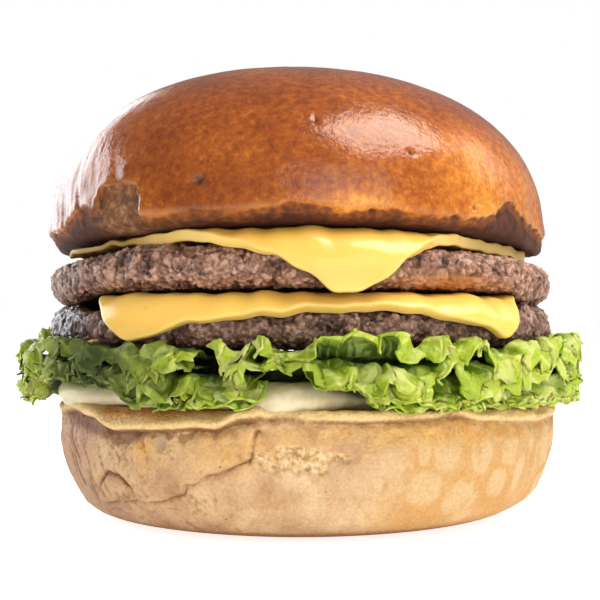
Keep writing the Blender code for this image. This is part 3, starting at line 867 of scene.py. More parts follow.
# The space that the frills fill: degrees, lowest and highest point
FRILL_SPACE = (
    (-180, 0.0285, 0.0410), (-110, 0.0280, 0.0430), (-84, 0.0280, 0.0455), (-72, 0.0300, 0.0425),
    (-64, 0.0345, 0.0415), (-42, 0.0345, 0.0404), (-36, 0.0325, 0.0412), (-30, 0.0295, 0.0416),
    (-9, 0.0295, 0.0418), (-5, 0.0330, 0.0416), (9, 0.0330, 0.0412), (15, 0.0294, 0.0414),
    (50, 0.0292, 0.0410), (80, 0.0286, 0.0420), (100, 0.0284, 0.0430), (180, 0.0285, 0.0410),
)
# The frills: leaf, start and end in degrees, height of the root as a share of the space under
# the patty, lean and droop in degrees, width, length and swing of its waves, and seed
FRILLS = (
    ("lettuce_leaf_left", -172, -19, 0.96, 58, 120, 0.0105, 0.0080, 0.0022, 1),
    ("lettuce_leaf_left", -168, -20, 0.72, 22, 85, 0.0112, 0.0070, 0.0022, 2),
    ("lettuce_leaf_left", -98, -19, 0.52, 4, 75, 0.0112, 0.0078, 0.0022, 3),
    ("lettuce_leaf_left", -94, -21, 0.32, -12, 60, 0.0105, 0.0068, 0.0020, 9),
    ("lettuce_leaf_left", -100, -62, 0.10, -22, 40, 0.0100, 0.0075, 0.0020, 12),
    ("lettuce_leaf_left", -40, -22, 0.12, -22, 40, 0.0095, 0.0075, 0.0018, 13),
    ("lettuce_leaf_right", -16, 184, 0.96, 58, 120, 0.0110, 0.0085, 0.0022, 4),
    ("lettuce_leaf_right", -13, 181, 0.74, 20, 90, 0.0116, 0.0074, 0.0022, 5),
    ("lettuce_leaf_right", 2, 108, 0.56, 2, 80, 0.0112, 0.0080, 0.0022, 10),
    ("lettuce_leaf_right", -19, -7, 0.54, 4, 75, 0.0112, 0.0078, 0.0022, 14),
    ("lettuce_leaf_right", -20, -8, 0.34, -12, 60, 0.0105, 0.0068, 0.0020, 15),
    ("lettuce_leaf_right", -20, -8, 0.12, -22, 40, 0.0095, 0.0075, 0.0018, 16),
    ("lettuce_leaf_front", 11, 85, 0.40, -8, 75, 0.0112, 0.0072, 0.0022, 6),
    ("lettuce_leaf_front", 12, 84, 0.26, -18, 55, 0.0105, 0.0080, 0.0020, 7),
    ("lettuce_leaf_front", 13, 83, 0.10, -26, 35, 0.0095, 0.0068, 0.0018, 11),
    ("lettuce_leaf_back", 90, 283, 0.35, -10, 50, 0.0110, 0.0085, 0.0022, 8),
)


# Blender's vector noise, which crumples the leaves and bends the strands of mince, starts from
# the clock unless it is given a seed
CRUMPLE_SEED = 7
noise.seed_set(CRUMPLE_SEED)


def patty_radius(phi, seed):
    """The radius of a patty at phi. The front of each is flatter than a circle."""
    uneven = 0.5 + 0.5 * around(phi, 7, seed)
    return PATTY_RADIUS * (1 - PATTY_UNEVEN * uneven - PATTY_FLATTER * bump(phi, *FLAT_FRONT))


def frill_space(degrees):
    """The lowest and the highest point of the frills at an angle."""
    return [
        height_along([(row[0], row[column]) for row in FRILL_SPACE], wrapped(degrees))
        for column in (1, 2)
    ]


def toothed(along, seed):
    """How far the margin is cut in, from 0 at the tip of a tooth to 1."""
    saw = abs((along / TOOTH + 1.2 * noise_at(along / 0.006, seed, 0, 60)) % 1.0 - 0.4) * 1.7
    deep = 0.5 + 0.7 * noise_at(along / 0.0045, seed, 0, 61)
    return min(1.0, saw) * max(0.30, deep)


def between(place):
    """The place moved clear of the patty above and of the sauce and the heel below."""
    radius, phi = math.hypot(place.x, place.y), phi_of(place)
    inside = patty_radius(phi, LOWER_PATTY_SEED) + 2 * CLEARANCE - radius
    above = place.z - UNDER_PATTY
    if inside > 0 and above > 0:
        if above > inside:
            radius += inside
        else:
            place.z = UNDER_PATTY
    floor = (sauce_top(radius, phi) + 2 * CLEARANCE) * (1 - smooth_step(0.0585, 0.0610, radius))
    return point_at(radius, phi, max(place.z, floor))


def frill_place(phi, w, low, root, lean, droop, width, wave, swing, seed):
    """A point of a frill. w runs from 0 at its root, at the patty's edge, to 1 at its margin."""
    along = phi * LEAF_RADIUS
    wander = noise_at(along / 0.013, seed, 0, 62)
    w *= 1 - 0.30 * toothed(along, seed) * smooth_step(0.5, 1.0, w)
    start = math.radians(lean + 34 * noise_at(along / 0.011, seed, 0, 63))
    turn = math.radians(droop) * (1 + 0.7 * noise_at(along / 0.008, seed, 0, 64))
    out = width * (1 + 0.14 * wander) * w
    root_radius = patty_radius(phi, LOWER_PATTY_SEED) - ROOT_INSET
    radius = root_radius + out * math.cos(start - turn * w / 2)
    z = low + root * (UNDER_PATTY - low) + out * math.sin(start - turn * w / 2)
    slope = start - turn * w
    phase = along / wave * 2 * math.pi + 2.6 * wander
    depth = swing * w * (0.75 + 0.8 * noise_at(along / 0.009, seed, 0, 65))
    ruffle = depth * math.sin(phase)
    radius += 0.35 * depth * math.cos(phase) - ruffle * math.sin(slope)
    z += ruffle * math.cos(slope)
    phi += 0.12 * wave * w / radius * math.sin(2 * phase)
    return crumpled(point_at(radius, phi, z), w, seed), along, w


def crumpled(place, near, seed):
    """The place moved as the leaf crumples, most at its margin."""
    moved = place.copy()
    for length, depth in CRUMPLES:
        pull = noise.noise_vector(moved / length + Vector((seed * 3.7, 0, 0)))
        moved += pull * depth * smooth_step(0.0, 0.75, near)
    return moved


def leaf_relief(vertex, along, near):
    """Blisters between the ribs, and the marks for the leaf's colours."""
    blister = noise_at(vertex.co.x / 0.0016, vertex.co.y / 0.0016, vertex.co.z / 0.0016, 65)
    phi = phi_of(vertex.co)
    out = math.hypot(vertex.co.x, vertex.co.y) - patty_radius(phi, LOWER_PATTY_SEED)
    # Painted shade: darker green on the parts under and just outside the patty's edge, less at the
    # front right, over the left side and a little at the front middle
    deep = smooth_step(0.0032, -0.0005, out)
    deep *= 0.9 - 0.75 * bump(phi, 22, 24)
    shade = max(deep, 0.95 * bump(phi, -42, 18), 0.3 * bump(phi, 0, 8))
    marks = {"along": along * 1000, "margin": near, "shade": shade}
    return 0.00022 * blister * smooth_step(0.0, 0.3, near), marks


def settle(vertex):
    """Keep a point of a leaf inside the frills' space and clear of the layers next to it."""
    z, phi = vertex.co.z, phi_of(vertex.co)
    low, high = frill_space(math.degrees(phi))
    ragged = noise_at(phi * LEAF_RADIUS / 0.0026, z / 0.0030, 0, 66)
    low += 0.0019 * ragged
    vertex.co.z = z - 0.6 * max(0.0, z - high) + 0.7 * max(0.0, low - z)
    radius = math.hypot(vertex.co.x, vertex.co.y)
    farthest = LEAF_REACH + 0.0022 * ragged
    if radius > farthest:
        vertex.co = point_at(farthest + 0.4 * (radius - farthest), phi, vertex.co.z)
    vertex.co = between(vertex.co)


def fresh_green_leaf():
    """Fresh lettuce: thin, crisp and a little waxy. Light goes through it, so it glows yellow
    green, with paler ribs and margin; the darker green in its depths and at the left is painted
    shade."""
    finish, tree, shader = new_material("fresh_green_leaf", {
        "IOR": 1.42,
        "Subsurface Weight": 0.55,
        "Subsurface Scale": 0.0012,
        "Subsurface Radius": (0.55, 1.0, 0.12),
    })
    spot = add_node(tree, "TexCoord", {}, "Object")
    margin = add_node(tree, "Attribute", {"attribute_name": "margin"}, "Fac")
    along = add_node(tree, "Attribute", {"attribute_name": "along"}, "Fac")
    patches = add_node(tree, "TexNoise", {"Vector": spot, "Scale": 1 / 0.007, "Detail": 3.0})
    shade = add_node(tree, "Attribute", {"attribute_name": "shade"}, "Fac")
    level = add_node(tree, "Math", {
        "operation": "MULTIPLY_ADD", 0: patches, 1: 0.55, 2: margin,
    })
    # The green is darker towards the root, partly as painted shade in the depths
    outer_green = add_node(tree, "ValToRGB", {
        "Fac": level,
        "stops": {0.20: "#3d5812", 0.60: "#6a8b1b", 0.90: "#8ea72b", 1.0: "#a4ba37"},
    })
    # Painted shade: dark green where the shade mark is set
    green = add_node(tree, "Mix", {
        "data_type": "RGBA", "Factor": shade, "A": outer_green, "B": linear("#1f3009"),
    })
    # Ribs: they run out to the margin about every 3 mm and fork on the way
    far = add_node(tree, "Math", {"operation": "MULTIPLY", 0: margin, 1: 7.0})
    ribs_place = add_node(tree, "CombineXYZ", {"X": along, "Y": far})
    bent = add_node(tree, "TexNoise", {"Vector": ribs_place, "Scale": 0.5, "Detail": 1.0}, "Color")
    ribs_bent = add_node(tree, "VectorMath", {
        "operation": "MULTIPLY_ADD", 0: bent, 1: (2.5, 2.5, 0.0), 2: ribs_place,
    })
    stretched = add_node(tree, "VectorMath", {
        "operation": "MULTIPLY", 0: ribs_bent, 1: (1.0, 0.45, 1.0),
    })
    ribs = add_node(tree, "TexVoronoi", {
        "feature": "DISTANCE_TO_EDGE", "Vector": stretched, "Scale": 1 / 3.0,
    })
    rib = add_node(tree, "MapRange", {
        "interpolation_type": "SMOOTHSTEP", "Value": ribs, "From Min": 0.02, "From Max": 0.12,
        "To Min": 0.55, "To Max": 0.0,
    })
    rib_seen = add_node(tree, "Math", {"operation": "MULTIPLY", 0: rib, 1: add_node(
        tree, "MapRange", {"Value": shade, "To Min": 1.0, "To Max": 0.15},
    )})
    ribbed = add_node(tree, "Mix", {
        "data_type": "RGBA", "Factor": rib_seen, "A": green, "B": linear("#cfd98a"),
    })
    tree.links.new(ribbed, shader.inputs["Base Color"])
    roughness = add_node(tree, "MapRange", {"Value": shade, "To Min": 0.42, "To Max": 0.80})
    tree.links.new(roughness, shader.inputs["Roughness"])
    cells = add_node(tree, "TexVoronoi", {"Vector": spot, "Scale": 1 / 0.0011})
    height = add_node(tree, "Math", {"operation": "MULTIPLY_ADD", 0: rib, 1: -0.8, 2: cells})
    relief = add_node(tree, "Bump", {"Strength": 0.7, "Distance": 0.0004, "Height": height})
    tree.links.new(relief, shader.inputs["Normal"])
    return finish


def add_sheet(bm, columns, rows, place_of):
    """Add a grid of faces. place_of(column share, row share) gives each point's place, how far
    along the margin it is and how near to it, and the last two come back for every point."""
    grid = [
        [place_of(column / columns, row / rows) for row in range(rows + 1)]
        for column in range(columns + 1)
    ]
    points = [[bm.verts.new(place) for place, along, near in line] for line in grid]
    for one, other in zip(points, points[1:]):
        for row in range(rows):
            bm.faces.new((one[row], other[row], other[row + 1], one[row + 1]))
    return [(along, near) for line in grid for place, along, near in line]


def thicken(made, depth):
    """Make a sheet depth thick, half of it to each side."""
    thickness = made.modifiers.new("thickness", "SOLIDIFY")
    thickness.thickness = depth
    thickness.offset = 0.0
    return thickness


def leaf_piece(name, finish):
    """One leaf: its flat inner part, the part folded down on the sauce, and its frills."""
    bm = bmesh.new()
    base_start, base_end, base_height = LEAF_BASES[name]
    upper_tier = base_height == UPPER_TIER

    def base_place(u, v):
        phi = math.radians(base_start + (base_end - base_start) * u)
        radius = HIDDEN_RADII[round(v * (len(HIDDEN_RADII) - 1))]
        sink = LEAF_SAG * hill(radius - SAG_RADIUS, SAG_WIDTH) if upper_tier else 0.0
        return between(point_at(radius, phi, base_height - sink)), phi * LEAF_RADIUS, 0.0

    def wall_place(u, v):
        phi = math.radians(base_start + (base_end - base_start) * u)
        wave = 0.0022 * noise_at(phi * LEAF_RADIUS / 0.005, v, 0, 67)
        low = sauce_top(FOLDED_WALL, phi) - 4 * CLEARANCE
        return point_at(FOLDED_WALL + wave, phi, base_height + (low - base_height) * v), 0.0, 0.0

    facts = add_sheet(bm, HIDDEN_COLUMNS, len(HIDDEN_RADII) - 1, base_place)
    facts += add_sheet(bm, WALL_COLUMNS, WALL_ROWS, wall_place)
    for leaf, start, end, root, lean, droop, width, wave, swing, seed in FRILLS:
        if leaf != name:
            continue

        def place_of(u, share):
            degrees = start + (end - start) * u
            low, high = frill_space(degrees)
            if share == 0:
                phi = math.radians(degrees)
                height = low + root * (UNDER_PATTY - low)
                return point_at(HIDDEN_RADII[-1], phi, height), phi * LEAF_RADIUS, 0.0
            w = (share * (FRILL_STEPS + 1) - 1) / FRILL_STEPS
            ends = smooth_step(0, 0.04, u) * smooth_step(1, 0.96, u)
            return frill_place(
                math.radians(degrees), w, low, root, lean, droop,
                width * (0.6 + 0.4 * ends), wave, swing, seed,
            )

        columns = round(math.radians(end - start) * LEAF_RADIUS / LEAF_COLUMN)
        facts += add_sheet(bm, columns, FRILL_STEPS + 1, place_of)
    bm.verts.index_update()
    press_relief(bm, lambda vertex: leaf_relief(vertex, *facts[vertex.index]))
    for vertex in bm.verts:
        settle(vertex)
    made = piece_from(bm, name + "_frilled", finish, "lettuce", name)
    thicken(made, LEAF_THICKNESS)


leaf_green = fresh_green_leaf()
for leaf_name in LEAF_BASES:
    leaf_piece(leaf_name, leaf_green)


# Patties: coarse minced beef, pressed and grilled, with craggy crumbly sides. The lower one is
# darker, with a charred greasy end at the left, whose darkness is partly painted shade; the
# upper one's fat runs out at the right.

PATTY_EDGE = 0.0072
LOWER_PATTY_HEIGHT = 0.0092
UPPER_PATTY_HEIGHT = 0.0098
# How much lower the layers lie at the left and right, between the patties and under the crown
MIDDLE_SAG = 0.0008
CROWN_SAG = 0.0027
SLICE_THICKNESS = 0.0024
SLICE_STEP = SLICE_THICKNESS + 2 * CLEARANCE
LOWER_PATTY_TOP = LOWER_PATTY_BOTTOM + LOWER_PATTY_HEIGHT
UPPER_PATTY_BOTTOM = LOWER_PATTY_TOP + SLICE_STEP
UPPER_PATTY_TOP = UPPER_PATTY_BOTTOM + UPPER_PATTY_HEIGHT
# The patties swell to meet each other beside the slice between them: how much, from how far out
# on the left and right, and where they are full
END_SWELL = 0.0023
END_SWELL_STARTS = 0.0440
END_SWELL_FULL = 0.0490
# The upper patty's top is fuller at the front left: how much, and where, in degrees
LEFT_RISE = 0.0012
LEFT_RISE_PLACE = (-35, 11)
UPPER_PATTY_SEED = 12
PATTY_COLUMNS = 800
PATTY_ROW = 0.00036
PATTY_SQUARENESS = 2.5
# The mince: how wide its strands and its crumbs are, and how deep the hollows between them
STRAND = 0.0019
CRUMB = 0.0011
RELIEF_DEPTH = 0.0013
# How deep each hollow of the mince is, as a share of that depth
HOLLOW_SHARES = {"valley": 0.34, "crumb": 0.42, "rough": 0.22, "lump": 0.45, "crack": 0.75}


def sag(depth, x):
    """How much lower a layer lies at x than at its middle."""
    return depth * min(1.0, abs(x) / BUN_RADIUS) ** 2


def patty_relief(vertex, seed, middle):
    """Strands and crumbs of mince with cracks between them, never further out than the pressed
    patty."""
    place, phi = vertex.co, phi_of(vertex.co)
    bent = place + 0.0007 * noise.noise_vector(place / 0.0016)
    tall = Vector((bent.x, bent.y, bent.z * 0.55))
    strand = abs(noise.noise(tall / STRAND + Vector((seed, 0, 0))))
    lump = 0.5 + 0.5 * noise_at(place.x / 0.0045, place.y / 0.0045, place.z / 0.0055, seed)
    crack_line = abs(noise_at(bent.x / 0.0034, bent.y / 0.0034, bent.z / 0.0060, seed + 5))
    hollows = {
        "valley": 1 - min(1.0, 2.4 * strand),
        "crumb": noise.voronoi(bent / CRUMB + Vector((0, seed, 0)))[0][0],
        "rough": noise.fractal(place / 0.0011, 0.7, 2.2, 3),
        "lump": lump * lump,
        "crack": (1 - min(1.0, crack_line / 0.09)) * smooth_step(0.35, 0.7, lump),
    }
    hollow = sum(share * hollows[name] for name, share in HOLLOW_SHARES.items())
    hollow = max(0.0, min(1.4, hollow))
    up = (place.z - middle) / (LOWER_PATTY_HEIGHT / 2)
    marks = {
        # hollow: painted shade in the mince's hollows and cracks
        "hollow": min(1.0, hollow),
        # charred: the dark left end, partly char and partly painted shade
        "charred": bump(phi, -70, 24),
        "greasy": bump(phi, 34, 12) * smooth_step(0.2, -0.9, up),
    }
    return -RELIEF_DEPTH * hollow, marks


def grilled_mince(name, crest, body, pit, shine):
    """Grilled minced beef: brown-grey crumbs with pinker crests, and painted shade darkening its
    cracks and hollows, wet with fat in places, dark and shiny where it is charred, darker there
    partly as painted shade. shine is how much the charred end shows."""
    finish, tree, shader = new_material(name, {
        "IOR": 1.45,
        "Subsurface Weight": 0.08,
        "Subsurface Scale": 0.0015,
        "Subsurface Radius": (1.0, 0.4, 0.25),
    })
    spot = add_node(tree, "TexCoord", {}, "Object")
    marks = {
        mark: add_node(tree, "Attribute", {"attribute_name": mark}, "Fac")
        for mark in ("hollow", "charred", "greasy")
    }
    crumbs = add_node(tree, "TexVoronoi", {"Vector": spot, "Scale": 1 / 0.0016}, "Color")
    crumb = add_node(tree, "SeparateColor", {"Color": crumbs}, "Red")
    threads = add_node(tree, "TexNoise", {"Vector": spot, "Scale": 1 / 0.0008, "Detail": 5.0})
    mixed = add_node(tree, "Math", {"operation": "MULTIPLY_ADD", 0: crumb, 1: 0.30, 2: threads})
    # Painted shade: darker colour in the hollows and cracks
    lifted = add_node(tree, "Math", {
        "operation": "MULTIPLY_ADD", 0: marks["hollow"], 1: -0.62, 2: mixed,
    })
    meat = add_node(tree, "ValToRGB", {
        "Fac": lifted, "stops": {0.05: pit, 0.36: body, 0.62: crest, 0.80: "#c9a795"},
    })
    char_and_shade_level = add_node(tree, "Math", {
        "operation": "MULTIPLY_ADD", 0: threads, 1: 0.6, 2: marks["charred"],
    })
    char_and_shade = add_node(tree, "MapRange", {
        "interpolation_type": "SMOOTHSTEP", "Value": char_and_shade_level, "From Min": 0.6,
        "From Max": 1.3, "To Max": shine,
    })
    greasy = add_node(tree, "Math", {"operation": "MULTIPLY", 0: marks["greasy"], 1: 1 - shine})
    for share, shade in ((char_and_shade, "#3c2a27"), (greasy, "#b0703a")):
        meat = add_node(tree, "Mix", {
            "data_type": "RGBA", "Factor": share, "A": meat, "B": linear(shade),
        })
    tree.links.new(meat, shader.inputs["Base Color"])
    wet = add_node(tree, "TexNoise", {"Vector": spot, "Scale": 1 / 0.004, "Detail": 3.0})
    wet_range = add_node(tree, "MapRange", {
        "Value": wet, "From Min": 0.35, "From Max": 0.65, "To Min": 0.65, "To Max": 0.38,
    })
    roughness = add_node(tree, "Mix", {
        "data_type": "FLOAT", "Factor": char_and_shade, "A": wet_range, "B": 0.16,
    })
    tree.links.new(roughness, shader.inputs["Roughness"])
    fine = add_node(tree, "TexNoise", {"Vector": spot, "Scale": 1 / 0.0005, "Detail": 4.0})
    relief = add_node(tree, "Bump", {"Strength": 0.6, "Distance": 0.0003, "Height": fine})
    tree.links.new(relief, shader.inputs["Normal"])
    return finish


def patty_piece(name, bottom, height, sags, swells, rise, seed, finish):
    """sags are the sag of its top and of its bottom, and swells how much each of them fills the
    space beside the slice between the patties. rise lifts its top at the front left."""
    half = height / 2
    middle = bottom + half

    def shape(radius, phi, z):
        radius *= patty_radius(phi, seed) / PATTY_RADIUS
        up = (z - middle) / half
        top_sag, bottom_sag = (sag(depth, radius * math.sin(phi)) for depth in sags)
        z -= top_sag * (1 + up) / 2 + bottom_sag * (1 - up) / 2
        end = smooth_step(END_SWELL_STARTS, END_SWELL_FULL, abs(radius * math.sin(phi)))
        z += end * (swells[0] * max(0.0, up) - swells[1] * max(0.0, -up))
        z += rise * bump(phi, *LEFT_RISE_PLACE) * max(0.0, up)
        return point_at(radius, phi, z)

    corner = (PATTY_RADIUS - PATTY_EDGE, middle)
    rim = even_profile(arc(90, -90, 24, corner, PATTY_EDGE, half, PATTY_SQUARENESS), PATTY_ROW)
    top = [(corner[0] * share, middle + half) for share in (0.0, 0.5, 0.8, 0.95)]
    under = [(radius, 2 * middle - z) for radius, z in reversed(top)]
    bm = turned_body(top + rim + under, PATTY_COLUMNS, shape)
    press_relief(bm, lambda vertex: patty_relief(vertex, seed, middle))
    piece_from(bm, name + "_mince", finish, "beef", name)


dark_mince = grilled_mince("dark_grilled_mince", "#a98a7c", "#75574b", "#33211c", 1.0)
pale_mince = grilled_mince("pale_grilled_mince", "#bd9a87", "#8d6857", "#422a22", 0.15)
patty_piece(
    "patty_lower", LOWER_PATTY_BOTTOM, LOWER_PATTY_HEIGHT, (MIDDLE_SAG, 0.0), (END_SWELL, 0.0),
    0.0, LOWER_PATTY_SEED, dark_mince,
)
patty_piece(
    "patty_upper", UPPER_PATTY_BOTTOM, UPPER_PATTY_HEIGHT, (CROWN_SAG, MIDDLE_SAG),
    (0.0, END_SWELL), LEFT_RISE, UPPER_PATTY_SEED, pale_mince,
)


# Crumb: a bit of fried mince about 4 mm long that has come off the lower patty at the left and
# lies between it and the lettuce.

# Where it lies, as degrees, distance from the middle and height, and half its size each way
CRUMB_PLACE = (-44, 0.0608, 0.0392)
CRUMB_SIZE = (0.0021, 0.0016, 0.0017)


def crumb_relief(vertex):
    """Lumps, with the marks that the patties' material reads."""
    lump = noise.fractal(vertex.co / 0.0013, 0.7, 2.2, 3)
    # hollow: painted shade in the crumb's low places
    marks = {"hollow": max(0.0, min(1.0, 0.3 - 0.5 * lump)), "charred": 0.0, "greasy": 0.0}
    return 0.0006 * lump, marks


crumb_bm = bmesh.new()
bmesh.ops.create_icosphere(crumb_bm, subdivisions=5, radius=1.0)
crumb_degrees, crumb_radius, crumb_height = CRUMB_PLACE
crumb_middle = point_at(crumb_radius, math.radians(crumb_degrees), crumb_height)
for crumb_vertex in crumb_bm.verts:
    crumb_vertex.co = crumb_middle + Vector(
        [size * part for size, part in zip(CRUMB_SIZE, crumb_vertex.co)]
    )
press_relief(crumb_bm, crumb_relief)
fried_mince = grilled_mince("fried_mince_crumb", "#c98f5c", "#a5653a", "#5e3218", 0.0)
piece_from(crumb_bm, "fried_crumb", fried_mince, "beef")


# Cheese: two square slices of processed cheese, laid on the hot patties. Each has softened,
# bent down over its patty's edge and clings to it, with a smooth rounded rim.

SLICE_SIDE = 0.0855
SLICE_CELLS = 90
# The cells crowd together towards the slice's edges, where it bends
CELL_CROWDING = 0.75
# The radius of the bend over the patty's edge, and the gap that is left there
BEND = 0.0066
RIM_GAP = 0.0005
# How far the edges bow out, wander and lift as the cheese melts
EDGE_BOW = 0.0022
EDGE_WANDER = 0.0010
EDGE_LIFT = 0.0007
# The rounding of the melted rim
RIM_ROUNDING = 0.0010
RIM_STEPS = 4
RIM_ANGLE = 50
# How square the corners are: front left, front right, back left and back right
LOWER_CORNERS = (24, 60, 9, 9)
UPPER_CORNERS = (14, 5, 5, 5)
# How far the front edge has run down
LOWER_RUN = 0.0045
UPPER_RUN = 0.0
# How much thinner the left corner of the upper slice is, where the shade is painted
SHADED_CORNER_THINNER = 0.55


def slice_outline(u, v, corners, run):
    """A point of the flat slice, where u and v run from -1 to 1. Its corners are rounded, and its
    edges bow out a little, as the cheese has melted."""
    half = SLICE_SIDE / 2
    power = corners[(0 if v < 0 else 2) + (0 if u < 0 else 1)]
    longest = max(abs(u), abs(v))
    rounding = (abs(u) ** power + abs(v) ** power) ** (1 / power)
    scale = longest / rounding if rounding > 0 else 1
    x = (half * u + EDGE_BOW * u * (1 - v * v)) * scale
    y = (half * v + EDGE_BOW * v * (1 - u * u)) * scale
    wander = EDGE_WANDER * longest ** 4
    x += wander * noise_at(x / 0.007, y / 0.007, run * 900, 90)
    y += wander * noise_at(x / 0.007, y / 0.007, run * 900, 91)
    return x, y - run * (1 - u * u) * max(0.0, -v)


def draped(x, y, level, depth, seed):
    """Where a point that would lie flat at x, y comes to lie. level is the middle of the slice's
    thickness over the patty's middle, and depth its sag at the sides."""
    flat = math.hypot(x, y)
    phi = math.atan2(x, -y)
    level += EDGE_LIFT * smooth_step(0.044, 0.054, flat) * around(phi, 52, seed + 6)
    outer = patty_radius(phi, seed) + RIM_GAP + SLICE_THICKNESS / 2
    turn = max(0.0, flat - (outer - BEND)) / BEND
    if turn == 0.0:
        radius, drop = flat, 0.0
    elif turn < math.pi / 2:
        radius, drop = outer - BEND + BEND * math.sin(turn), BEND * (1 - math.cos(turn))
    else:
        radius, drop = outer, BEND + BEND * (turn - math.pi / 2)
    ripple = 0.0005 * around(phi, 11, seed + 3) * smooth_step(0, 1.2, turn)
    radius += ripple * smooth_step(0, 0.004, drop)
    return point_at(radius, phi, level - drop - sag(depth, radius * math.sin(phi)))


def slice_relief(vertex, near, seed, corner_shade):
    """Soft waves in the melted face. The last argument is how much painted shade its left corner
    gets.
    """
    place = vertex.co
    waves = noise_at(place.x / 0.009, place.y / 0.009, place.z / 0.004, seed)
    degrees = math.degrees(phi_of(place))
    # Painted shade: the upper slice's left corner is darkened
    soaked = corner_shade * smooth_step(-34, -44, degrees) * smooth_step(-100, -80, degrees)
    return 0.00040 * waves, {"edge": near, "soaked": soaked}


def melted_cheese():
    """Processed cheese, melted and set again: smooth and satin, warm yellow, with light going
    well into it, so that its folds glow, and its thin rim painted paler for the light in it."""
    finish, tree, shader = new_material("melted_processed_cheese", {
        "IOR": 1.45,
        "Subsurface Weight": 0.35,
        "Subsurface Scale": 0.0030,
        "Subsurface Radius": (1.0, 0.62, 0.18),
        "Coat Weight": 0.25,
        "Coat Roughness": 0.14,
    })
    spot = add_node(tree, "TexCoord", {}, "Object")
    edge = add_node(tree, "Attribute", {"attribute_name": "edge"}, "Fac")
    clouds = add_node(tree, "TexNoise", {"Vector": spot, "Scale": 1 / 0.012, "Detail": 2.0})
    yellow = add_node(tree, "ValToRGB", {
        "Fac": clouds, "stops": {0.3: "#efc053", 0.7: "#f2c865"},
    })
    # Painted light: the thin rim is painted paler for the light in it
    rim = add_node(tree, "MapRange", {
        "interpolation_type": "SMOOTHSTEP", "Value": edge, "From Min": 0.965, "From Max": 1.0,
        "To Max": 0.5,
    })
    # The thin left corner of the upper slice is painted dark olive, as painted shade
    soaked = add_node(tree, "Attribute", {"attribute_name": "soaked"}, "Fac")
    shaded_corner_share = add_node(tree, "Math", {"operation": "MULTIPLY", 0: soaked, 1: 0.85})
    for share, shade in ((rim, "#f5d382"), (shaded_corner_share, "#80651a")):
        yellow = add_node(tree, "Mix", {
            "data_type": "RGBA", "Factor": share, "A": yellow, "B": linear(shade),
        })
    tree.links.new(yellow, shader.inputs["Base Color"])
    smears = add_node(tree, "TexNoise", {"Vector": spot, "Scale": 1 / 0.005, "Detail": 3.0})
    satin = add_node(tree, "MapRange", {"Value": smears, "To Min": 0.22, "To Max": 0.40})
    roughness = add_node(tree, "Mix", {
        "data_type": "FLOAT", "Factor": soaked, "A": satin, "B": 0.60,
    })
    tree.links.new(roughness, shader.inputs["Roughness"])
    # Oil has sweated out in beads of about 0.6 mm
    beads = add_node(tree, "TexVoronoi", {"Vector": spot, "Scale": 1 / 0.0042})
    bead = add_node(tree, "MapRange", {
        "interpolation_type": "SMOOTHSTEP", "Value": beads, "From Min": 0.04, "From Max": 0.10,
        "To Min": 1.0, "To Max": 0.0,
    })
    height = add_node(tree, "Math", {"operation": "MULTIPLY_ADD", 0: smears, 1: 0.8, 2: bead})
    relief = add_node(tree, "Bump", {"Strength": 0.35, "Distance": 0.0003, "Height": height})
    tree.links.new(relief, shader.inputs["Normal"])
    return finish


def slice_piece(name, patty_top, depth, centre, turned, corners, run, seed, corner_shade, finish):
    """centre is where the middle of the slice lies, turned how far it is turned, in degrees,
    depth its sag at the sides, and the argument before finish how much painted shade its left
    corner gets."""
    level = patty_top + CLEARANCE + SLICE_THICKNESS / 2
    cos, sin = math.cos(math.radians(turned)), math.sin(math.radians(turned))
    bm = bmesh.new()
    bmesh.ops.create_grid(bm, x_segments=SLICE_CELLS, y_segments=SLICE_CELLS, size=1.0)
    facts = []
    for vertex in bm.verts:
        facts.append(max(abs(vertex.co.x), abs(vertex.co.y)))
        u, v = (math.copysign(abs(c) ** CELL_CROWDING, c) for c in vertex.co.xy)
        x, y = slice_outline(u, v, corners, run)
        vertex.co = draped(
            centre[0] + x * cos - y * sin, centre[1] + x * sin + y * cos, level, depth, seed
        )
    bmesh.ops.recalc_face_normals(bm, faces=bm.faces)
    press_relief(bm, lambda vertex: slice_relief(vertex, facts[vertex.index], seed, corner_shade))
    made = piece_from(bm, name + "_melted", finish, "cheese", name)
    whole = made.vertex_groups.new(name="whole")
    for index, mark in enumerate(made.data.attributes["soaked"].data):
        whole.add([index], 1 - SHADED_CORNER_THINNER * mark.value, "REPLACE")
    thicken(made, SLICE_THICKNESS).vertex_group = "whole"
    rounding = made.modifiers.new("melted_rim", "BEVEL")
    rounding.width = RIM_ROUNDING
    rounding.segments = RIM_STEPS
    rounding.limit_method = "ANGLE"
    rounding.angle_limit = math.radians(RIM_ANGLE)


cheese = melted_cheese()
slice_piece(
    "cheese_lower", LOWER_PATTY_TOP, MIDDLE_SAG, (-0.0006, -0.0075), 5.3,
    LOWER_CORNERS, LOWER_RUN, LOWER_PATTY_SEED, 0.0, cheese,
)
slice_piece(
    "cheese_upper", UPPER_PATTY_TOP, CROWN_SAG, (0.0002, -0.0099), 55.5,
    UPPER_CORNERS, UPPER_RUN, UPPER_PATTY_SEED, 1.0, cheese,
)


# Bun crown: the top half of the brioche bun, brushed with egg before baking, so its dome is a
# mottled brown glaze. Low on the side the glaze ends in a ragged hem over bare bread that curls
# in under it, paler in itself but painted dark brown there as shade, torn open at the left and
# wrinkled at both ends.

# Its height, how far up it is widest, and how far its edge curls in under it
CROWN_HEIGHT = 0.0403
CROWN_WIDEST = 0.0045
CROWN_CURL = 0.009
CROWN_OFFSET = -0.0007
CROWN_DROOP = 0.0026
CROWN_BOTTOM = UPPER_PATTY_TOP + SLICE_STEP
CROWN_COLUMNS = 500
# Rows are closer together on the side, up to this height over the cut face
CROWN_TOP_ROW = 0.00085
CROWN_SIDE_ROW = 0.00034
CROWN_SIDE_HEIGHT = 0.020
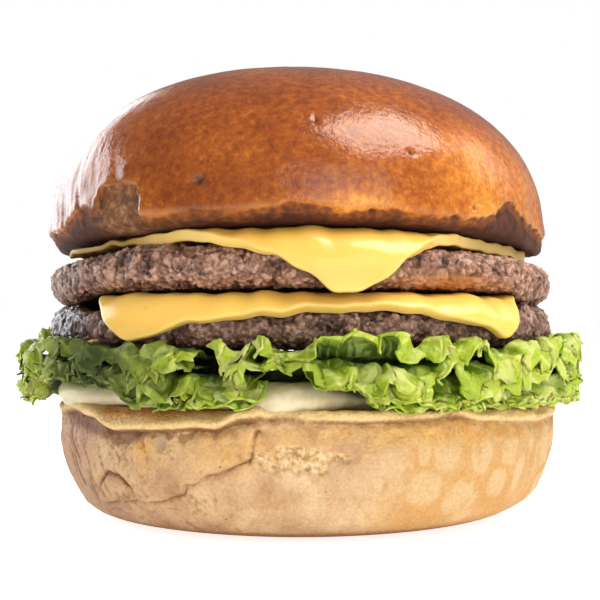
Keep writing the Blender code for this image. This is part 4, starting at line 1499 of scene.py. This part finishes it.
# Pits in the glaze: degrees, height over the cut face, and radius
PITS = (
    (-19.5, 0.0090, 0.0011), (15, 0.0023, 0.0007), (33.5, 0.0024, 0.0008), (47, 0.0046, 0.0011),
    (38.5, 0.0050, 0.0005), (4, 0.0210, 0.0005), (24, 0.0150, 0.0005), (150, 0.0120, 0.0008),
    (-130, 0.0060, 0.0009), (100, 0.0090, 0.0007),
)
# How far each form of the crust's side stands out, or lies in where it is less than nothing
CRUST_DEPTHS = {"hem_step": 0.00025, "bare": -0.0005, "torn": -0.0004, "folds": 0.00045}
PIT_DEPTH = 0.0009


def crown_shape(radius, phi, z):
    """The crown's round form: uneven, wrinkled low at the left and right, its rim drooping
    there over the patty."""
    share = radius / BUN_RADIUS
    height = (z - CROWN_BOTTOM) / CROWN_HEIGHT
    swell = 0.005 * around(phi, 5, 1) + 0.005 * around(phi, 12, 2)
    low = smooth_step(0.45, 0.1, height) * smooth_step(0.6, 0.95, share)
    wrinkles = 0.010 * around(phi, 40, 3) * low * (0.35 + bump(phi, -62, 30) + bump(phi, 68, 22))
    crust_edge = -0.012 * bump(phi, 66, 7) * low
    radius *= 1 + (swell + wrinkles + crust_edge) * share
    z += 0.0007 * noise_at(share * 1.7 * math.cos(phi), share * 1.7 * math.sin(phi), 0, 4) * height
    edge = smooth_step(0.3, 0.1, height) * smooth_step(0.905, 0.975, share)
    z -= CROWN_DROOP * edge * (bump(phi, 80, 28) + 0.7 * bump(phi, -98, 18))
    place = point_at(radius, phi, z)
    place.z -= sag(CROWN_SAG, place.x) * (1 - 0.8 * height)
    place.x += CROWN_OFFSET
    return place


def hem_height(phi):
    """How far over the cut face the glaze ends."""
    degrees = math.degrees(phi)
    torn = smooth_step(-46.5, -44.5, degrees) * smooth_step(-33.2, -34.2, degrees)
    hem = 0.0026 + 0.0008 * around(phi, 30, 70) + 0.0012 * bump(phi, 0, 6)
    hem += 0.0038 * bump(phi, -51, 9) + 0.0048 * bump(phi, 50, 5) + 0.0020 * bump(phi, 60, 10)
    return hem + torn * (0.0100 - hem)


def crown_relief(vertex):
    """How far the crust stands out at a vertex, and the marks for its colours."""
    place = vertex.co
    phi = phi_of(place, CROWN_OFFSET)
    along = phi * BUN_RADIUS
    high = place.z + sag(CROWN_SAG, place.x) * 0.9 - CROWN_BOTTOM
    side = smooth_step(-0.75, -0.35, vertex.normal.z) * smooth_step(0.95, 0.6, vertex.normal.z)
    ragged = 0.0007 * noise_at(along / 0.0022, place.z / 0.0030, 0, 71)
    over_hem = high - hem_height(phi) + ragged
    bare = smooth_step(0.0002, -0.0005, over_hem)
    torn = bump(phi, -39.5, 6) * bare
    left = bump(phi, -66, 22) * smooth_step(0.024, 0.010, high)
    right = bump(phi, 64, 16) * smooth_step(0.010, 0.004, high)
    slanted = along + 0.35 * (high - 0.008)
    folds = 1.5 * noise_at(slanted / 0.0017, high / 0.009, 0, 72) * left
    folds += noise_at(slanted / 0.0016, high / 0.006, 0, 73) * right
    folds += 0.5 * noise_at(along / 0.0013, high / 0.004, 0, 74) * torn
    pit = max(
        patch(phi, high, (degrees, height, across, across)) for degrees, height, across in PITS
    )
    dimples = noise_at(place.x / 0.0042, place.y / 0.0042, place.z / 0.0042, 75)
    skin = noise_at(place.x / 0.0014, place.y / 0.0014, place.z / 0.0014, 76)
    forms = {
        "hem_step": smooth_step(-0.0002, 0.0004, over_hem) * smooth_step(0.0035, 0.0008, over_hem),
        "bare": bare, "torn": torn, "folds": folds,
    }
    push = side * sum(depth * forms[name] for name, depth in CRUST_DEPTHS.items())
    push += -PIT_DEPTH * pit + 0.00007 * dimples + 0.00003 * skin
    marks = {
        "over_hem": max(-3.0, min(9.0, over_hem * 1000)),
        "torn": torn,
        "folds": min(1.0, abs(folds) * 1.5) * smooth_step(0.3, -0.1, folds),
        "pit": pit,
        # golden: lighter low at the front and at the right, partly golden streaks in the glaze and
        # partly painted light from the right
        "golden": bump(phi, 12, 13) * smooth_step(0.0085, 0.0035, high)
        + 0.8 * bump(phi, 52, 30) * smooth_step(0.030, 0.012, high),
        "cut": smooth_step(0.0480, 0.0465, math.hypot(place.x, place.y))
        * smooth_step(-0.7, -0.9, vertex.normal.z),
    }
    return push, marks


def egg_glazed_crust():
    """Brioche crust under baked egg wash: mottled red-brown to golden, with a hard gloss over
    fine orange peel. Bare bread under its hem is matt and painted darker as shade further under
    the curl, the cut face pale crumb."""
    finish, tree, shader = new_material("egg_glazed_brioche_crust", {
        "IOR": 1.48,
        "Subsurface Weight": 0.06,
        "Subsurface Scale": 0.0012,
        "Subsurface Radius": (1.0, 0.45, 0.2),
    })
    spot = add_node(tree, "TexCoord", {}, "Object")
    marks = {
        mark: add_node(tree, "Attribute", {"attribute_name": mark}, "Fac")
        for mark in ("over_hem", "torn", "folds", "pit", "golden", "cut")
    }
    patches = add_node(tree, "TexNoise", {"Vector": spot, "Scale": 1 / 0.016, "Detail": 3.0})
    mottle = add_node(tree, "TexNoise", {
        "Vector": spot, "Scale": 1 / 0.0016, "Detail": 5.0, "Roughness": 0.60,
    })
    flecks = add_node(tree, "TexNoise", {"Vector": spot, "Scale": 1 / 0.0007, "Detail": 2.0})
    spread = add_node(tree, "Math", {"operation": "MULTIPLY_ADD", 0: patches, 1: 0.50, 2: 0.20})
    tone = add_node(tree, "Math", {"operation": "MULTIPLY_ADD", 0: mottle, 1: 0.62, 2: spread})
    tone_flecked = add_node(tree, "Math", {
        "operation": "MULTIPLY_ADD", 0: flecks, 1: 0.25, 2: tone,
    })
    # The golden mark lightens the tone, partly as painted light at the right
    warm = add_node(tree, "Math", {
        "operation": "MULTIPLY_ADD", 0: marks["golden"], 1: 0.34, 2: tone_flecked,
    })
    brown = add_node(tree, "ValToRGB", {
        "Fac": add_node(tree, "MapRange", {"Value": warm, "From Min": 0.55, "From Max": 1.45}),
        "stops": {
            0.05: "#58230a", 0.26: "#7c3a10", 0.44: "#984f18", 0.62: "#b86d24", 0.85: "#d8963c",
        },
    })
    # The hem: glaze above, bare bread below, with a thin golden line where the glaze runs out
    hem_noise = add_node(tree, "TexNoise", {"Vector": spot, "Scale": 1 / 0.0016, "Detail": 4.0})
    hem_level = add_node(tree, "Math", {
        "operation": "MULTIPLY_ADD", 0: hem_noise, 1: 1.3, 2: marks["over_hem"],
    })
    bare = add_node(tree, "MapRange", {
        "interpolation_type": "SMOOTHSTEP", "Value": hem_level, "From Min": 0.35, "From Max": 0.95,
        "To Min": 1.0, "To Max": 0.0,
    })
    gold_band = add_node(tree, "MapRange", {
        "interpolation_type": "SMOOTHSTEP", "Value": hem_level, "From Min": 0.7, "From Max": 2.8,
        "To Min": 1.0, "To Max": 0.0,
    })
    gold_here = add_node(tree, "MapRange", {
        "Value": patches, "From Min": 0.42, "From Max": 0.60, "To Min": 0.10, "To Max": 0.60,
    })
    gold_share = add_node(tree, "Math", {"operation": "MULTIPLY", 0: gold_band, 1: gold_here})
    # Bare bread under the hem: brown near the hem, painted darker further under the curl, as shade
    under_light = add_node(tree, "ValToRGB", {
        "Fac": mottle, "stops": {0.32: "#64300d", 0.50: "#864719", 0.70: "#aa6c2e"},
    })
    under_painted_shade = add_node(tree, "ValToRGB", {
        "Fac": mottle, "stops": {0.30: "#2e1306", 0.50: "#461d09", 0.72: "#643212"},
    })
    far_under = add_node(tree, "MapRange", {
        "Value": marks["over_hem"], "From Min": 0.0, "From Max": -2.2,
    })
    under = add_node(tree, "Mix", {
        "data_type": "RGBA", "Factor": far_under, "A": under_light, "B": under_painted_shade,
    })
    torn_skin = add_node(tree, "ValToRGB", {
        "Fac": mottle, "stops": {0.34: "#5d3a1e", 0.50: "#835632", 0.68: "#b58a5c"},
    })
    crumb = add_node(tree, "ValToRGB", {
        "Fac": mottle, "stops": {0.35: "#d8b079", 0.65: "#efd7a9"},
    })
    # Painted shade: darker brown in the pits and the valleys of the folds
    dark = add_node(tree, "Math", {"operation": "MAXIMUM", 0: marks["pit"], 1: marks["folds"]})
    dark_share = add_node(tree, "MapRange", {"Value": dark, "To Max": 0.85})
    # From the glaze up: gold at the hem, bare bread under it, torn skin, the cut face's crumb,
    # and painted shade in pits and folds
    crust = brown
    for share, tint in (
        (gold_share, linear("#cb8a3e")),
        (bare, under),
        (marks["torn"], torn_skin),
        (marks["cut"], crumb),
        (dark_share, linear("#40200f")),
    ):
        crust = add_node(tree, "Mix", {
            "data_type": "RGBA", "Factor": share, "A": crust, "B": tint,
        })
    tree.links.new(crust, shader.inputs["Base Color"])
    dull = add_node(tree, "Math", {"operation": "MAXIMUM", 0: bare, 1: marks["cut"]})
    gloss = add_node(tree, "MapRange", {"Value": patches, "To Min": 0.13, "To Max": 0.22})
    roughness = add_node(tree, "Mix", {
        "data_type": "FLOAT", "Factor": dull, "A": gloss, "B": 0.80,
    })
    tree.links.new(roughness, shader.inputs["Roughness"])
    peel = add_node(tree, "TexNoise", {"Vector": spot, "Scale": 1 / 0.0009, "Detail": 3.0})
    peel_mottle = add_node(tree, "Math", {"operation": "MULTIPLY_ADD", 0: mottle, 1: 0.7, 2: peel})
    rim_height = add_node(tree, "Math", {
        "operation": "MULTIPLY_ADD", 0: bare, 1: -1.2, 2: peel_mottle,
    })
    relief = add_node(tree, "Bump", {"Strength": 0.32, "Distance": 0.0003, "Height": rim_height})
    tree.links.new(relief, shader.inputs["Normal"])
    return finish


crown_middle = CROWN_BOTTOM + CROWN_WIDEST
crown_dome = arc(90, 0, 40, (0, crown_middle), BUN_RADIUS, CROWN_HEIGHT - CROWN_WIDEST, 2.2)
crown_corner = (BUN_RADIUS - CROWN_CURL, crown_middle)
crown_curl = arc(0, -90, 16, crown_corner, CROWN_CURL, CROWN_WIDEST, 2.2)
crown_side = [point for point in crown_dome if point[1] < CROWN_BOTTOM + CROWN_SIDE_HEIGHT]
crown_top = [point for point in crown_dome if point not in crown_side]
crown_profile = even_profile(crown_top + crown_side[:1], CROWN_TOP_ROW)[:-1]
crown_profile += even_profile(crown_side + crown_curl[1:], CROWN_SIDE_ROW)
crown_profile += [(crown_corner[0] * share, CROWN_BOTTOM) for share in (0.9, 0.6, 0.3, 0.0)]
crown_bm = turned_body(crown_profile, CROWN_COLUMNS, crown_shape)
press_relief(crown_bm, crown_relief)
piece_from(crown_bm, "crown_bread", egg_glazed_crust(), "bun_crust", "bun_crown")
